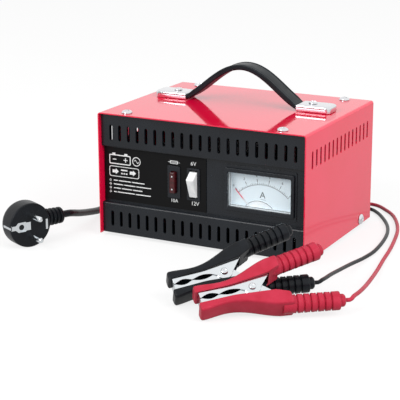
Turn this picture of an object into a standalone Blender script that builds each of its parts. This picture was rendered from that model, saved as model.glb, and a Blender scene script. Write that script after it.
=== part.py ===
"""Car battery charger, in metres: +Z is up, the front faces -Y, the origin is on the floor under the case.

A folded steel cover slides over two moulded panels and a base plate. The front carries a label, a blade
fuse, a rocker switch and a meter. A mains cord with an angled plug and two clamp leads leave the back.
"""

import math

import bmesh
import bpy
import numpy as np
from mathutils import Matrix, Vector

GAP = 0.0003            # between pieces that touch
RUNNING_GAP = 0.0004    # round a shaft that turns

# Case
CASE_W = 0.200
CASE_D = 0.155
CASE_H = 0.111
SHEET = 0.001
FOLD_R = 0.0025
FOOT_H = 0.003
FOOT_R = 0.008
FOOT_STUD_R = 0.0025
FOOT_STUD_L = 0.0035
FOOT_INSET_X = 0.030
FOOT_INSET_Y = 0.0275
BASE_FLANGE_H = 0.012

# Panels
PANEL_INSET = 0.004     # front of the bands behind the cover's edge
RECESS_DEPTH = 0.0045   # recess behind the bands
PANEL_WALL = 0.0025
PANEL_DEPTH = 0.0135
PANEL_LIFT = 0.0005      # panel's bottom edge above the cover's
LOWER_BAND_H = 0.0287
UPPER_BAND_H = 0.031
BAND_EDGE_R = 0.002

# Ventilation slots
SLOT_W = 0.003
PANEL_SLOT_L = 0.0145
PANEL_SLOT_PITCH = 0.0089
PANEL_SLOT_MARGIN = 0.0215
REAR_SLOTS = 13
UPPER_SLOT_DROP = 0.018
LOWER_SLOT_RISE = 0.014
SIDE_SLOT_L = 0.016
SIDE_SLOT_PITCH = 0.00905
SIDE_SLOT_MARGIN = 0.027
SIDE_SLOT_DROP = 0.024

# Screws
SCREW_HEAD_R = 0.00475
SCREW_HEAD_H = 0.0026
SCREW_R = 0.002
SCREW_L = 0.007
TOP_SCREW_INSET_X = 0.025
TOP_SCREW_INSET = 0.009
SIDE_SCREW_INSET = 0.0255
SIDE_SCREW_RISE = 0.005

# Carrying strap
STRAP_Y = 0.013
STRAP_W = 0.018
STRAP_T = 0.005
STRAP_END_T = 0.0033
STRAP_RISE = 0.0317
STRAP_FOOT = 0.058      # half span of the free arch
STRAP_LEAN = 0.0006
STRAP_SHARPNESS = 1.55
STRAP_EDGE = 0.0011
CAP_IN_X = 0.055
CAP_OUT_X = 0.087
CAP_W = 0.020
CAP_WALL = 0.0011
CAP_ROOM = 0.0052       # height of the pocket under the cap
CAP_CORNER_R = 0.005
CAP_SCREW_X = 0.0675
CAP_SCREW_HEAD_R = 0.004
CAP_SCREW_HEAD_H = 0.002

# Label, fuse and switch
LABEL_INSET = 0.0016
LABEL_TO_METER = 0.0162  # from the label's right edge to the pad round the meter
LABEL_H = 0.048
LABEL_T = 0.0003
CONTROL_Z = 0.0572
BEZEL_W = 0.0126
BEZEL_H = 0.029
BEZEL_T = 0.001
FUSE_INSET = 0.0316      # from the label's right edge
FUSE_W = 0.0052
FUSE_H = 0.0191
FUSE_PROUD = 0.0037
FUSE_HEAD_D = 0.0115
FUSE_BLADE_L = 0.010
FUSE_BLADE_W = 0.0052
FUSE_BLADE_T = 0.00065
FUSE_BLADE_Z = 0.00465
SOCKET_W = 0.009
SOCKET_H = 0.0268
SOCKET_D = 0.022
SWITCH_INSET = 0.0124
ROCKER_W = 0.0072
ROCKER_PIVOT_DEPTH = 0.0045
ROCKER_WELL_H = 0.0255
ROCKER_WELL_D = 0.0135

# Meter
METER_INSET = 0.0455     # from the case's right side
METER_Z = 0.058
METER_FRAME_W = 0.0654
METER_FRAME_H = 0.0376
METER_FRAME_PROUD = 0.0025
METER_PAD_W = 0.069
METER_PAD_H = 0.043
METER_PAD_T = 0.0008
WINDOW_W = 0.0592
WINDOW_H = 0.0302
WINDOW_T = 0.0015
METER_RIM = 0.0016
METER_CASE_W = 0.069
METER_CASE_TOP = 0.079
METER_CASE_BOTTOM = 0.021
METER_CASE_D = 0.0242
METER_CASE_WALL = 0.0015
DIAL_DEPTH = 0.007      # dial behind the recess
DIAL_T = 0.0008
PIVOT_Z = 0.0295
NEEDLE_L = 0.0375
NEEDLE_TAIL = 0.007
NEEDLE_REST_DEG = 133.6
NEEDLE_T = 0.0004
NEEDLE_LIFT = 0.001
NEEDLE_HUB_R = 0.0025
NEEDLE_SHAFT_R = 0.0008
MOVEMENT_R = 0.0105
MOVEMENT_BOSS_R = 0.009

# Inside
CORE_X = -0.030
CORE_Y = 0.010
CORE_W = 0.084
CORE_H = 0.070
CORE_STACK = 0.042
LIMB_W = 0.028
CORE_WINDOW_H = 0.042
WINDING_EDGE_R = 0.004
SINK_X = 0.056
SINK_Y = 0.010
SINK_W = 0.060
SINK_H = 0.060
SINK_PLATE = 0.004
SINK_FIN_L = 0.018
SINK_FIN_T = 0.002
SINK_FINS = 7
RECTIFIER_W = 0.028
RECTIFIER_T = 0.0105
RECTIFIER_Z = 0.024
CUTOUT_R = 0.008
CUTOUT_T = 0.006
CUTOUT_Z = 0.052

# Mains side
CORD_D = 0.0065
RELIEF_X = -0.055
RELIEF_Z = 0.020
RELIEF_FLANGE_R = 0.008
RELIEF_FLANGE_T = 0.0025
RELIEF_NECK_R = 0.0057
RELIEF_L = 0.034
RELIEF_RIBS = 6
COIL_Y = 0.150
COIL_OUTER_R = 0.045
COIL_TURNS = 4.75
COIL_PITCH = 0.0076
COIL_LAYER = 0.0072
COIL_LEAD = 0.008       # straight run at each end of the coil
PLUG_CENTRE = (-0.1362, -0.1339, 0.02005)
PLUG_TURN_DEG = -26.7
PLUG_R = 0.020
PLUG_T = 0.022
PIN_R = 0.0024
PIN_L = 0.019
PIN_SPACING = 0.019
PLUG_BOOT_BACK = 0.0131
PLUG_BOOT_END = 0.0381
PLUG_BOOT_R = 0.0082

# Output side
LEAD_D = 0.0033
BLACK_EXIT_X = 0.080
RED_EXIT_X = 0.070
OUTPUT_Z = 0.015
GROMMET_R = 0.0052
GROMMET_SLEEVE_L = 0.008

# Clamps, in their own frame: X runs from the rivet to the boots, Z opens the jaws, Y is the rivet's axis
CLAMPS = {
    "black": {"rivet": (0.0731, -0.1742, 0.0192), "turn": 33.4, "tilt": 39.2, "pitch": 13.9},
    "red": {"rivet": (0.1070, -0.1942, 0.0178), "turn": 31.9, "tilt": 31.9, "pitch": 13.0},
}
JAW_SHEET = 0.0008
UPPER_JAW_W = 0.013
LOWER_JAW_W = 0.0108
CLAMP_W = 0.0184
CLAMP_TIP_W = 0.0149
TIP_X = -0.043
TIP_OUT = 0.0118
TIP_IN = 0.0050
WAIST_X = -0.015
WAIST_IN = 0.0050
KNEE_X = 0.017
KNEE_OUT = 0.0225
KNEE_IN = 0.0088
# Sag of a cover's outer edge between tip and knee: depth, lean towards the tip and sharpness
SAG = 0.0058
SAG_LEAN = 0.868
SAG_POWER = 1.7
SAG_STEPS = 8
JAW_TOUCH = 0.0002
# Hollows between the teeth: start and end as shares of the way to the tip, and depth
JAW_HOLLOWS = ((0.966, 0.652, 0.0028), (0.616, 0.2295, 0.0023))
COVER_WALL = 0.0016
EAR_R = 0.0065
RIVET_R = 0.002
RIVET_HEAD_R = 0.003
BOOT_X = 0.022
BOOT_Z = 0.0185
BOOT_SLOPE_DEG = 9.95
BOOT_R = 0.0073
BOOT_GROOVE_R = 0.006
BOOT_RIBS = 6
BOOT_RIB_PITCH = 0.0053
BOOT_L = 0.0405
BOOT_NOSE_R = 0.005
BOOT_NOSE_L = 0.0045
TONGUE_W = 0.009
TONGUE_T = 0.0016
TONGUE_X = 0.055
SPRING_WIRE = 0.0014
SPRING_R = 0.0038
SPRING_TURNS = 3
SPRING_PITCH = 0.0021

# Worked out from the sizes above
CUT_THROUGH = 2 * PANEL_DEPTH
FOOT_X = CASE_W / 2 - FOOT_INSET_X
FOOT_Y = CASE_D / 2 - FOOT_INSET_Y
TOP_SCREW_X = CASE_W / 2 - TOP_SCREW_INSET_X
SIDE_SCREW_Y = CASE_D / 2 - SIDE_SCREW_INSET
PANEL_SLOTS = int((CASE_W - PANEL_SLOT_MARGIN) / PANEL_SLOT_PITCH) + 1
SIDE_SLOTS = int((CASE_D - SIDE_SLOT_MARGIN) / SIDE_SLOT_PITCH) + 1
METER_X = CASE_W / 2 - METER_INSET
LABEL_X0 = LABEL_INSET - CASE_W / 2
LABEL_X1 = METER_X - METER_PAD_W / 2 - LABEL_TO_METER
FUSE_X = LABEL_X1 - FUSE_INSET
SWITCH_X = LABEL_X1 - SWITCH_INSET
COVER_TOP = FOOT_H + CASE_H
INNER_TOP = COVER_TOP - SHEET
INNER_X = CASE_W / 2 - SHEET
BASE_TOP = FOOT_H + SHEET
PANEL_X = INNER_X - GAP
PANEL_TOP = INNER_TOP - GAP
BAND_Y = CASE_D / 2 - PANEL_INSET
RECESS_Y = BAND_Y - RECESS_DEPTH
PANEL_BACK_Y = BAND_Y - PANEL_DEPTH
RECESS_BOTTOM = FOOT_H + LOWER_BAND_H
RECESS_TOP = COVER_TOP - UPPER_BAND_H
UPPER_SLOT_Z = COVER_TOP - UPPER_SLOT_DROP
LOWER_SLOT_Z = FOOT_H + LOWER_SLOT_RISE
TOP_SCREW_Y = CASE_D / 2 - TOP_SCREW_INSET
STRAP_Z = COVER_TOP + GAP
BEZEL_Y = -RECESS_Y - GAP - BEZEL_T       # front of the fuse and switch bezels
ROCKER_PIVOT_Y = BEZEL_Y + ROCKER_PIVOT_DEPTH
DIAL_Y = -RECESS_Y + DIAL_DEPTH
METER_BACK_Y = -RECESS_Y + PANEL_WALL + GAP + METER_CASE_D
METER_FRONT_Y = -RECESS_Y - METER_FRAME_PROUD
COIL_X = RELIEF_X + COIL_OUTER_R
COIL_LOW_Z = CORD_D / 2 + 0.0001

# Directions of flat outlines: each maps the outline's own x, y and thickness to the world
FRONT_VIEW = Matrix(((1, 0, 0), (0, 0, -1), (0, 1, 0))).to_4x4()
SIDE_VIEW = Matrix(((0, 0, 1), (1, 0, 0), (0, 1, 0))).to_4x4()
TOP_VIEW = Matrix.Identity(4)
# Directions of turned pieces: each maps the axis of turning to the world
UPRIGHT = Matrix.Identity(4)
ALONG_X = Matrix.Rotation(math.pi / 2, 4, "Y")
ALONG_BACK = Matrix.Rotation(-math.pi / 2, 4, "X")
ALONG_FRONT = Matrix.Rotation(math.pi / 2, 4, "X")

PARTS = None
CUTTERS = None


# ---------------------------------------------------------------- workshop

def start_scene():
    """Empties the scene and makes the two collections."""
    global PARTS, CUTTERS
    for obj in list(bpy.data.objects):
        bpy.data.objects.remove(obj, do_unlink=True)
    PARTS = bpy.data.collections.new("car_battery_charger")
    CUTTERS = bpy.data.collections.new("cutters")
    bpy.context.scene.collection.children.link(PARTS)
    bpy.context.scene.collection.children.link(CUTTERS)


def finish(name, rgb, roughness, metallic=0.0):
    """A plain finish of one colour."""
    material = bpy.data.materials.new(name)
    material.use_nodes = True
    shader = material.node_tree.nodes["Principled BSDF"]
    shader.inputs["Base Color"].default_value = (*rgb, 1.0)
    shader.inputs["Roughness"].default_value = roughness
    shader.inputs["Metallic"].default_value = metallic
    return material


def make_finishes():
    return {
        "red_enamel": finish("red_enamel", (0.80, 0.012, 0.045), 0.22),
        "black_plastic": finish("black_plastic", (0.017, 0.018, 0.023), 0.5),
        "rubber": finish("rubber", (0.028, 0.035, 0.040), 0.6),
        "label_film": finish("label_film", (0.008, 0.008, 0.008), 0.35),
        "chrome": finish("chrome", (0.75, 0.75, 0.76), 0.12, 1.0),
        "nickel": finish("nickel", (0.66, 0.64, 0.60), 0.25, 1.0),
        "steel": finish("steel", (0.45, 0.45, 0.46), 0.4, 1.0),
        "core_steel": finish("core_steel", (0.20, 0.20, 0.22), 0.6, 0.7),
        "copper": finish("copper", (0.62, 0.26, 0.12), 0.35, 0.9),
        "aluminium": finish("aluminium", (0.70, 0.70, 0.71), 0.4, 1.0),
        "white_plastic": finish("white_plastic", (0.82, 0.83, 0.84), 0.35),
        "fuse_red": finish("fuse_red", (0.25, 0.01, 0.02), 0.2),
        "dial_card": finish("dial_card", (0.74, 0.82, 0.85), 0.6),
        "clear_plastic": finish("clear_plastic", (0.85, 0.92, 0.95), 0.05),
        "needle_red": finish("needle_red", (0.75, 0.05, 0.08), 0.5),
        "black_pvc": finish("black_pvc", (0.015, 0.016, 0.018), 0.45),
        "red_pvc": finish("red_pvc", (0.60, 0.03, 0.06), 0.4),
    }


def add(name, mesh, group, material=None, at=(0, 0, 0), parent=None):
    """An object for a mesh, in its collection, shaded smooth between sharp edges."""
    obj = bpy.data.objects.new(name, mesh)
    group.objects.link(obj)
    obj.location = at
    obj.parent = parent
    if material:
        mesh.materials.append(material)
        mesh.shade_smooth()
        mesh.set_sharp_from_angle(angle=math.radians(35))
    if group is CUTTERS:
        obj.hide_render = True
        obj.display_type = "WIRE"
    return obj


def tidy_mesh(mesh, direction=None):
    """Welds a mesh's loose seams, turns it the way it should stand and points its faces outwards."""
    shape = bmesh.new()
    shape.from_mesh(mesh)
    bmesh.ops.remove_doubles(shape, verts=shape.verts, dist=0.000002)
    if direction:
        shape.transform(direction)
    bmesh.ops.recalc_face_normals(shape, faces=shape.faces)
    shape.to_mesh(mesh)
    shape.free()
    return mesh


def evaluated(obj):
    """The mesh that an object has after its modifiers, and the object is removed."""
    bpy.context.view_layer.update()
    graph = bpy.context.evaluated_depsgraph_get()
    mesh = bpy.data.meshes.new_from_object(obj.evaluated_get(graph))
    bpy.data.objects.remove(obj, do_unlink=True)
    return mesh


def plate_mesh(outlines, thickness, direction, edge=0.0):
    """A flat piece: an outline, with holes if more are given, edges rounded by edge."""
    curve = bpy.data.curves.new("outline", "CURVE")
    curve.dimensions = "2D"
    curve.fill_mode = "BOTH"
    curve.extrude = thickness / 2 - edge
    curve.bevel_depth = edge
    curve.offset = -edge
    curve.bevel_resolution = 1
    for outline in outlines:
        spline = curve.splines.new("POLY")
        spline.points.add(len(outline) - 1)
        for point, (u, v) in zip(spline.points, outline):
            point.co = (u, v, 0, 1)
        spline.use_cyclic_u = True
    guide = bpy.data.objects.new("outline", curve)
    CUTTERS.objects.link(guide)
    return tidy_mesh(evaluated(guide), direction)


def box_mesh(size, edge=0.0):
    """A box about its own centre, with its edges chamfered."""
    shape = bmesh.new()
    bmesh.ops.create_cube(shape, size=1.0, matrix=Matrix.Diagonal((*size, 1)))
    if edge:
        bmesh.ops.bevel(shape, geom=shape.edges[:], offset=edge, segments=1, affect="EDGES")
    mesh = bpy.data.meshes.new("box")
    shape.to_mesh(mesh)
    shape.free()
    return mesh


def rod_mesh(radius, length, direction, sides=16):
    """A cylinder about its own centre."""
    shape = bmesh.new()
    bmesh.ops.create_cone(shape, cap_ends=True, segments=sides, radius1=radius, radius2=radius,
                          depth=length, matrix=direction)
    mesh = bpy.data.meshes.new("rod")
    shape.to_mesh(mesh)
    shape.free()
    return mesh


def turned_mesh(profile, direction, steps=12):
    """A turned piece: (radius, height) points, top to bottom, carried round the axis."""
    line = bpy.data.meshes.new("profile")
    points = [(radius, 0, height) for radius, height in profile]
    line.from_pydata(points, [(i, i + 1) for i in range(len(points) - 1)], [])
    guide = bpy.data.objects.new("profile", line)
    CUTTERS.objects.link(guide)
    screw = guide.modifiers.new("turn", "SCREW")
    screw.steps = steps
    screw.render_steps = steps
    screw.use_merge_vertices = True
    screw.merge_threshold = 0.00001
    return tidy_mesh(evaluated(guide), direction)


def tube_mesh(points, diameter, resolution=2, radii=None):
    """A round tube through points, with closed ends; radii scale it along its length."""
    curve = bpy.data.curves.new("route", "CURVE")
    curve.dimensions = "3D"
    curve.bevel_depth = diameter / 2
    curve.bevel_resolution = resolution
    curve.use_fill_caps = True
    spline = curve.splines.new("POLY")
    spline.points.add(len(points) - 1)
    for index, place in enumerate(points):
        spline.points[index].co = (*place, 1)
        spline.points[index].radius = radii[index] if radii else 1.0
    guide = bpy.data.objects.new("route", curve)
    CUTTERS.objects.link(guide)
    return tidy_mesh(evaluated(guide))


def join(target, name, mesh, operation, at=(0, 0, 0)):
    """Cuts a shape from a piece, or joins it on, keeping the shape among the cutters."""
    tool = add(name, mesh, CUTTERS, at=at, parent=target.parent)
    step = target.modifiers.new(name, "BOOLEAN")
    step.operation = operation
    step.object = tool
    step.solver = "EXACT"


def cut(target, name, mesh, at=(0, 0, 0)):
    join(target, name, mesh, "DIFFERENCE", at)


def unite(target, name, mesh, at=(0, 0, 0)):
    join(target, name, mesh, "UNION", at)


# ---------------------------------------------------------------- outlines and routes

def arc(centre, radius, start_deg, end_deg, steps):
    """Points along an arc, both ends included."""
    angles = np.radians(np.linspace(start_deg, end_deg, steps + 1))
    return [(centre[0] + radius * math.cos(a), centre[1] + radius * math.sin(a)) for a in angles]


def rounded_box(width, height, radius, steps=3, centre=(0, 0)):
    """A rectangle with four round corners."""
    points = []
    for sign_x, sign_y, start in ((1, 1, 0), (-1, 1, 90), (-1, -1, 180), (1, -1, 270)):
        corner = (centre[0] + sign_x * (width / 2 - radius), centre[1] + sign_y * (height / 2 - radius))
        points += arc(corner, radius, start, start + 90, steps)
    return points


def rectangle(x0, x1, y0, y1):
    return [(x0, y0), (x1, y0), (x1, y1), (x0, y1)]


def slot(centre, length):
    """An upright slot with round ends."""
    reach = (length - SLOT_W) / 2
    upper = arc((centre[0], centre[1] + reach), SLOT_W / 2, 0, 180, 3)
    lower = arc((centre[0], centre[1] - reach), SLOT_W / 2, 180, 360, 3)
    return upper + lower


def slot_row(count, pitch, length, height):
    """The outlines of a row of slots, centred on the middle of the case."""
    return [slot(((index - (count - 1) / 2) * pitch, height), length) for index in range(count)]


def smooth_route(points, step, floor=-1.0):
    """A smooth curve through hand-chosen points, read at even steps, with its two end runs straight.

    Between two points it is the cubic whose end slopes follow each point's two neighbours.
    """
    places = np.array(points)
    runs = np.linalg.norm(np.diff(places, axis=0), axis=1)
    knots = np.concatenate([[0.0], np.cumsum(np.sqrt(runs))])
    slopes = np.gradient(places, knots, axis=0)
    for near, end in ((1, 0), (-2, -1)):
        straight = (places[near] - places[end]) * (1 if end == 0 else -1)
        slopes[near] = straight / np.linalg.norm(straight) * np.linalg.norm(slopes[near])
    fine = []
    for index in range(1, len(places) - 2):
        span = knots[index + 1] - knots[index]
        t = np.linspace(0, 1, 24, endpoint=False)[:, None]
        fine.append((2 * t**3 - 3 * t**2 + 1) * places[index] + (t**3 - 2 * t**2 + t) * span * slopes[index]
                    + (3 * t**2 - 2 * t**3) * places[index + 1] + (t**3 - t**2) * span * slopes[index + 1])
    fine = np.vstack(fine + [places[-2:-1]])
    fine[:, 2] = np.maximum(fine[:, 2], floor)
    length = np.concatenate([[0.0], np.cumsum(np.linalg.norm(np.diff(fine, axis=0), axis=1))])
    count = max(2, round(length[-1] / step))
    even = np.linspace(0, length[-1], count + 1)
    middle = np.column_stack([np.interp(even, length, fine[:, k]) for k in range(3)])
    return [tuple(place) for place in np.vstack([places[:1], middle, places[-1:]])]


# ---------------------------------------------------------------- case

def fold(half_width, bottom, top, radius):
    """The end view of a sheet folded down at both sides."""
    outer = arc((half_width - radius, top - radius), radius, 0, 90, 4)
    inner = arc((half_width - radius, top - radius), radius - SHEET, 90, 0, 4)
    right = [(half_width, bottom)] + outer
    left = [(-x, z) for x, z in reversed(right)]
    inside_right = inner + [(half_width - SHEET, bottom)]
    inside_left = [(-x, z) for x, z in reversed(inside_right)]
    return right + left + inside_left + inside_right


def case_cover(looks):
    outline = fold(CASE_W / 2, FOOT_H, COVER_TOP, FOLD_R)
    cover = add("case_cover", plate_mesh([outline], CASE_D, FRONT_VIEW), PARTS, looks["red_enamel"])
    slots = slot_row(SIDE_SLOTS, SIDE_SLOT_PITCH, SIDE_SLOT_L, COVER_TOP - SIDE_SLOT_DROP)
    cut(cover, "side_slots", plate_mesh(slots, CASE_W * 1.2, SIDE_VIEW))
    for x in (-1, 1):
        for y in (-1, 1):
            cut(cover, "top_hole", rod_mesh(SCREW_R + GAP, 4 * SHEET, UPRIGHT, 12),
                (x * TOP_SCREW_X, y * TOP_SCREW_Y, COVER_TOP))
        cut(cover, "strap_hole", rod_mesh(SCREW_R + GAP, 4 * SHEET, UPRIGHT, 12),
            (x * CAP_SCREW_X, STRAP_Y, COVER_TOP))
    for y in (-1, 1):
        cut(cover, "side_hole", rod_mesh(SCREW_R + GAP, CASE_W * 1.2, ALONG_X, 12),
            (0, y * SIDE_SCREW_Y, FOOT_H + SIDE_SCREW_RISE))
    return cover


def base_plate(looks):
    upside_down = fold(PANEL_X, -FOOT_H - BASE_FLANGE_H, -FOOT_H, FOLD_R)
    outline = [(x, -z) for x, z in reversed(upside_down)]
    reach = BAND_Y - PANEL_WALL - GAP
    base = add("base_plate", plate_mesh([outline], 2 * reach, FRONT_VIEW), PARTS, looks["steel"])
    trim = PANEL_DEPTH
    for y in (-1, 1):
        cut(base, "flange_end", box_mesh((CASE_W * 1.2, 2 * trim, 4 * BASE_FLANGE_H)),
            (0, y * (PANEL_BACK_Y - GAP + trim), BASE_TOP - 0.0001 + 2 * BASE_FLANGE_H))
        cut(base, "side_hole", rod_mesh(SCREW_R + GAP, CASE_W * 1.2, ALONG_X, 12),
            (0, y * SIDE_SCREW_Y, FOOT_H + SIDE_SCREW_RISE))
        for x in (-1, 1):
            cut(base, "foot_hole", rod_mesh(FOOT_STUD_R + GAP, 4 * SHEET, UPRIGHT, 12),
                (x * FOOT_X, y * FOOT_Y, FOOT_H))
    return base


def panel_blank(name, side, looks):
    """A moulded panel: a tray with a skin, ledges at the sides, a flange over and one under."""
    bottom = FOOT_H + PANEL_LIFT
    height = PANEL_TOP - bottom
    corner = FOLD_R - SHEET - GAP
    outline = rounded_box(2 * PANEL_X, height, corner, centre=(0, bottom + height / 2))
    centre = side * (BAND_Y - PANEL_DEPTH / 2)
    panel = add(name, plate_mesh([outline], PANEL_DEPTH, FRONT_VIEW), PARTS, looks["black_plastic"],
                at=(0, centre, 0))
    skin = BAND_Y - PANEL_WALL
    sill_depth = skin - PANEL_BACK_Y + 0.005
    cut(panel, name + "_sill", box_mesh((CASE_W * 1.2, sill_depth, 0.01)),
        (0, side * (skin - sill_depth / 2), BASE_TOP + GAP - 0.005))
    return panel


def hollow(panel, side, inner_line):
    """Empties a panel behind its skin; inner_line runs up the skin's back as (y, z)."""
    back = PANEL_BACK_Y - 0.005
    outline = [(back, inner_line[0][1])] + inner_line + [(back, inner_line[-1][1])]
    outline = [(side * y, z) for y, z in outline]
    cut(panel, panel.name + "_hollow", plate_mesh([outline], 2 * (PANEL_X - PANEL_WALL), SIDE_VIEW))


def drill_top_screws(panel, side):
    for x in (-1, 1):
        cut(panel, "screw_hole", rod_mesh(SCREW_R + GAP, 4 * PANEL_WALL, UPRIGHT, 12),
            (x * TOP_SCREW_X, side * TOP_SCREW_Y, PANEL_TOP))


def front_panel(looks):
    panel = panel_blank("front_panel", -1, looks)
    skin = BAND_Y - PANEL_WALL
    inner = [(skin, BASE_TOP + GAP + PANEL_WALL), (skin, RECESS_BOTTOM - PANEL_WALL),
             (RECESS_Y - PANEL_WALL, RECESS_BOTTOM - PANEL_WALL),
             (RECESS_Y - PANEL_WALL, RECESS_TOP + PANEL_WALL),
             (skin, RECESS_TOP + PANEL_WALL), (skin, PANEL_TOP - PANEL_WALL)]
    hollow(panel, -1, inner)
    out = BAND_Y + 0.005
    edge = BAND_EDGE_R
    recess = [(out, RECESS_BOTTOM - edge)]
    recess += arc((BAND_Y - edge, RECESS_BOTTOM - edge), edge, 0, 90, 4)
    recess += [(RECESS_Y, RECESS_BOTTOM), (RECESS_Y, RECESS_TOP)]
    recess += arc((BAND_Y - edge / 2, RECESS_TOP + edge / 2), edge / 2, 270, 360, 2)
    recess += [(out, RECESS_TOP + edge / 2)]
    cut(panel, "recess", plate_mesh([[(-y, z) for y, z in recess]], CASE_W * 1.2, SIDE_VIEW))
    pad = rounded_box(METER_PAD_W, METER_PAD_H, 0.0015, 2, (METER_X, METER_Z))
    pad_depth = METER_PAD_T + PANEL_WALL / 2
    unite(panel, "meter_pad", plate_mesh([pad], pad_depth, FRONT_VIEW),
          (0, -RECESS_Y - METER_PAD_T + pad_depth / 2, 0))
    rim_w = WINDOW_W + 2 * METER_RIM + 2 * GAP
    rim_h = WINDOW_H + 2 * METER_RIM + 2 * GAP
    holes = [rounded_box(rim_w, rim_h, 0.001, 2, (METER_X, METER_Z))]
    for x in (FUSE_X, SWITCH_X):
        half_w, half_h = SOCKET_W / 2 + GAP, SOCKET_H / 2 + GAP
        holes.append(rectangle(x - half_w, x + half_w, CONTROL_Z - half_h, CONTROL_Z + half_h))
    cut(panel, "control_holes", plate_mesh(holes, CUT_THROUGH, FRONT_VIEW), (0, -RECESS_Y, 0))
    rows = slot_row(PANEL_SLOTS, PANEL_SLOT_PITCH, PANEL_SLOT_L, UPPER_SLOT_Z)
    rows += slot_row(PANEL_SLOTS, PANEL_SLOT_PITCH, PANEL_SLOT_L, LOWER_SLOT_Z)
    cut(panel, "front_slots", plate_mesh(rows, 4 * PANEL_WALL, FRONT_VIEW), (0, -BAND_Y, 0))
    drill_top_screws(panel, -1)
    return panel


def grommet_outline(radius):
    """The outline round the two output leads."""
    right = arc((BLACK_EXIT_X, OUTPUT_Z), radius, -90, 90, 6)
    return right + arc((RED_EXIT_X, OUTPUT_Z), radius, 90, 270, 6)


def rear_panel(looks):
    panel = panel_blank("rear_panel", 1, looks)
    skin = BAND_Y - PANEL_WALL
    hollow(panel, 1, [(skin, BASE_TOP + GAP + PANEL_WALL), (skin, PANEL_TOP - PANEL_WALL)])
    holes = slot_row(REAR_SLOTS, PANEL_SLOT_PITCH, PANEL_SLOT_L, UPPER_SLOT_Z)
    holes.append(arc((RELIEF_X, RELIEF_Z), RELIEF_NECK_R + GAP, 0, 345, 23))
    holes.append(grommet_outline(GROMMET_R + GAP))
    cut(panel, "rear_holes", plate_mesh(holes, 4 * PANEL_WALL, FRONT_VIEW), (0, BAND_Y, 0))
    drill_top_screws(panel, 1)
    return panel


def screw_profile(head_radius, head_height, length):
    """A domed head on a straight shank with a blunt point."""
    dome = [(head_radius * math.sin(a), head_height * math.cos(a)) for a in np.radians([0, 30, 60, 90])]
    return dome + [(SCREW_R, 0.0), (SCREW_R, SCREW_R - length), (SCREW_R / 2, -length), (0.0, -length)]


def screws(looks):
    profile = screw_profile(SCREW_HEAD_R, SCREW_HEAD_H, SCREW_L)
    corners = [(-1, -1), (1, -1), (-1, 1), (1, 1)]
    for index, (x, y) in enumerate(corners, 1):
        add(f"top_screw_{index}", turned_mesh(profile, UPRIGHT), PARTS, looks["chrome"],
            at=(x * TOP_SCREW_X, y * TOP_SCREW_Y, COVER_TOP + GAP))
        facing = ALONG_X if x > 0 else Matrix.Rotation(-math.pi / 2, 4, "Y")
        add(f"side_screw_{index}", turned_mesh(profile, facing), PARTS, looks["chrome"],
            at=(x * (CASE_W / 2 + GAP), y * SIDE_SCREW_Y, FOOT_H + SIDE_SCREW_RISE))


def feet(looks):
    stud_top = FOOT_H + FOOT_STUD_L
    pad_top = FOOT_H - GAP
    profile = [(0, stud_top), (FOOT_STUD_R, stud_top), (FOOT_STUD_R, pad_top), (FOOT_R, pad_top),
               (FOOT_R, 0.0006), (FOOT_R - 0.0006, 0), (0, 0)]
    corners = [(-1, -1), (1, -1), (-1, 1), (1, 1)]
    for index, (x, y) in enumerate(corners, 1):
        add(f"foot_{index}", turned_mesh(profile, UPRIGHT), PARTS, looks["rubber"],
            at=(x * FOOT_X, y * FOOT_Y, 0))


# ---------------------------------------------------------------- strap

def strap_underside(x):
    """Height of the strap's underside over the case: a bell-shaped arch between two flat feet."""
    share = min(1.0, abs(x - STRAP_LEAN) / STRAP_FOOT)
    return STRAP_Z + STRAP_RISE * math.cos(share * math.pi / 2) ** STRAP_SHARPNESS


def strap_thickness(x):
    blend = min(1.0, max(0.0, (CAP_IN_X - abs(x)) / (0.16 * CAP_IN_X)))
    return STRAP_END_T + (STRAP_T - STRAP_END_T) * blend


def strap_end():
    return CAP_OUT_X - CAP_WALL - GAP - 0.0015


def strap_section(x):
    """The strap's cross-section at x: a chamfered bar, square to the underside."""
    slope = (strap_underside(x + 0.0005) - strap_underside(x - 0.0005)) / 0.001
    lean = math.atan(slope)
    up = Vector((-math.sin(lean), 0, math.cos(lean)))
    thick = strap_thickness(x)
    half = STRAP_W / 2
    edge = STRAP_EDGE
    outline = [(half - edge, 0), (half, edge), (half, thick - edge), (half - edge, thick)]
    outline += [(-y, z) for y, z in reversed(outline)]
    foot = Vector((x, 0, strap_underside(x)))
    return [foot + Vector((0, y, 0)) + up * z for y, z in outline]


def handle_strap(looks):
    """The strap is a loft: its thickness changes from the arch to the ends under the caps."""
    half = strap_end()
    arch = STRAP_FOOT * np.sin(np.radians(np.linspace(-90, 90, 21)))
    stations = np.concatenate([[-half], arch, [half]])
    shape = bmesh.new()
    rings = [[shape.verts.new(place) for place in strap_section(float(x))] for x in stations]
    count = len(rings[0])
    for ring, following in zip(rings, rings[1:]):
        for k in range(count):
            shape.faces.new((ring[k], ring[(k + 1) % count], following[(k + 1) % count], following[k]))
    shape.faces.new(rings[0])
    shape.faces.new(rings[-1])
    mesh = bpy.data.meshes.new("strap")
    shape.to_mesh(mesh)
    shape.free()
    strap = add("handle_strap", tidy_mesh(mesh), PARTS, looks["rubber"], at=(0, STRAP_Y, 0))
    for x in (-1, 1):
        cut(strap, "strap_screw_hole", rod_mesh(SCREW_R + GAP, 0.03, UPRIGHT, 12),
            (x * CAP_SCREW_X, STRAP_Y, STRAP_Z))


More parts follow.
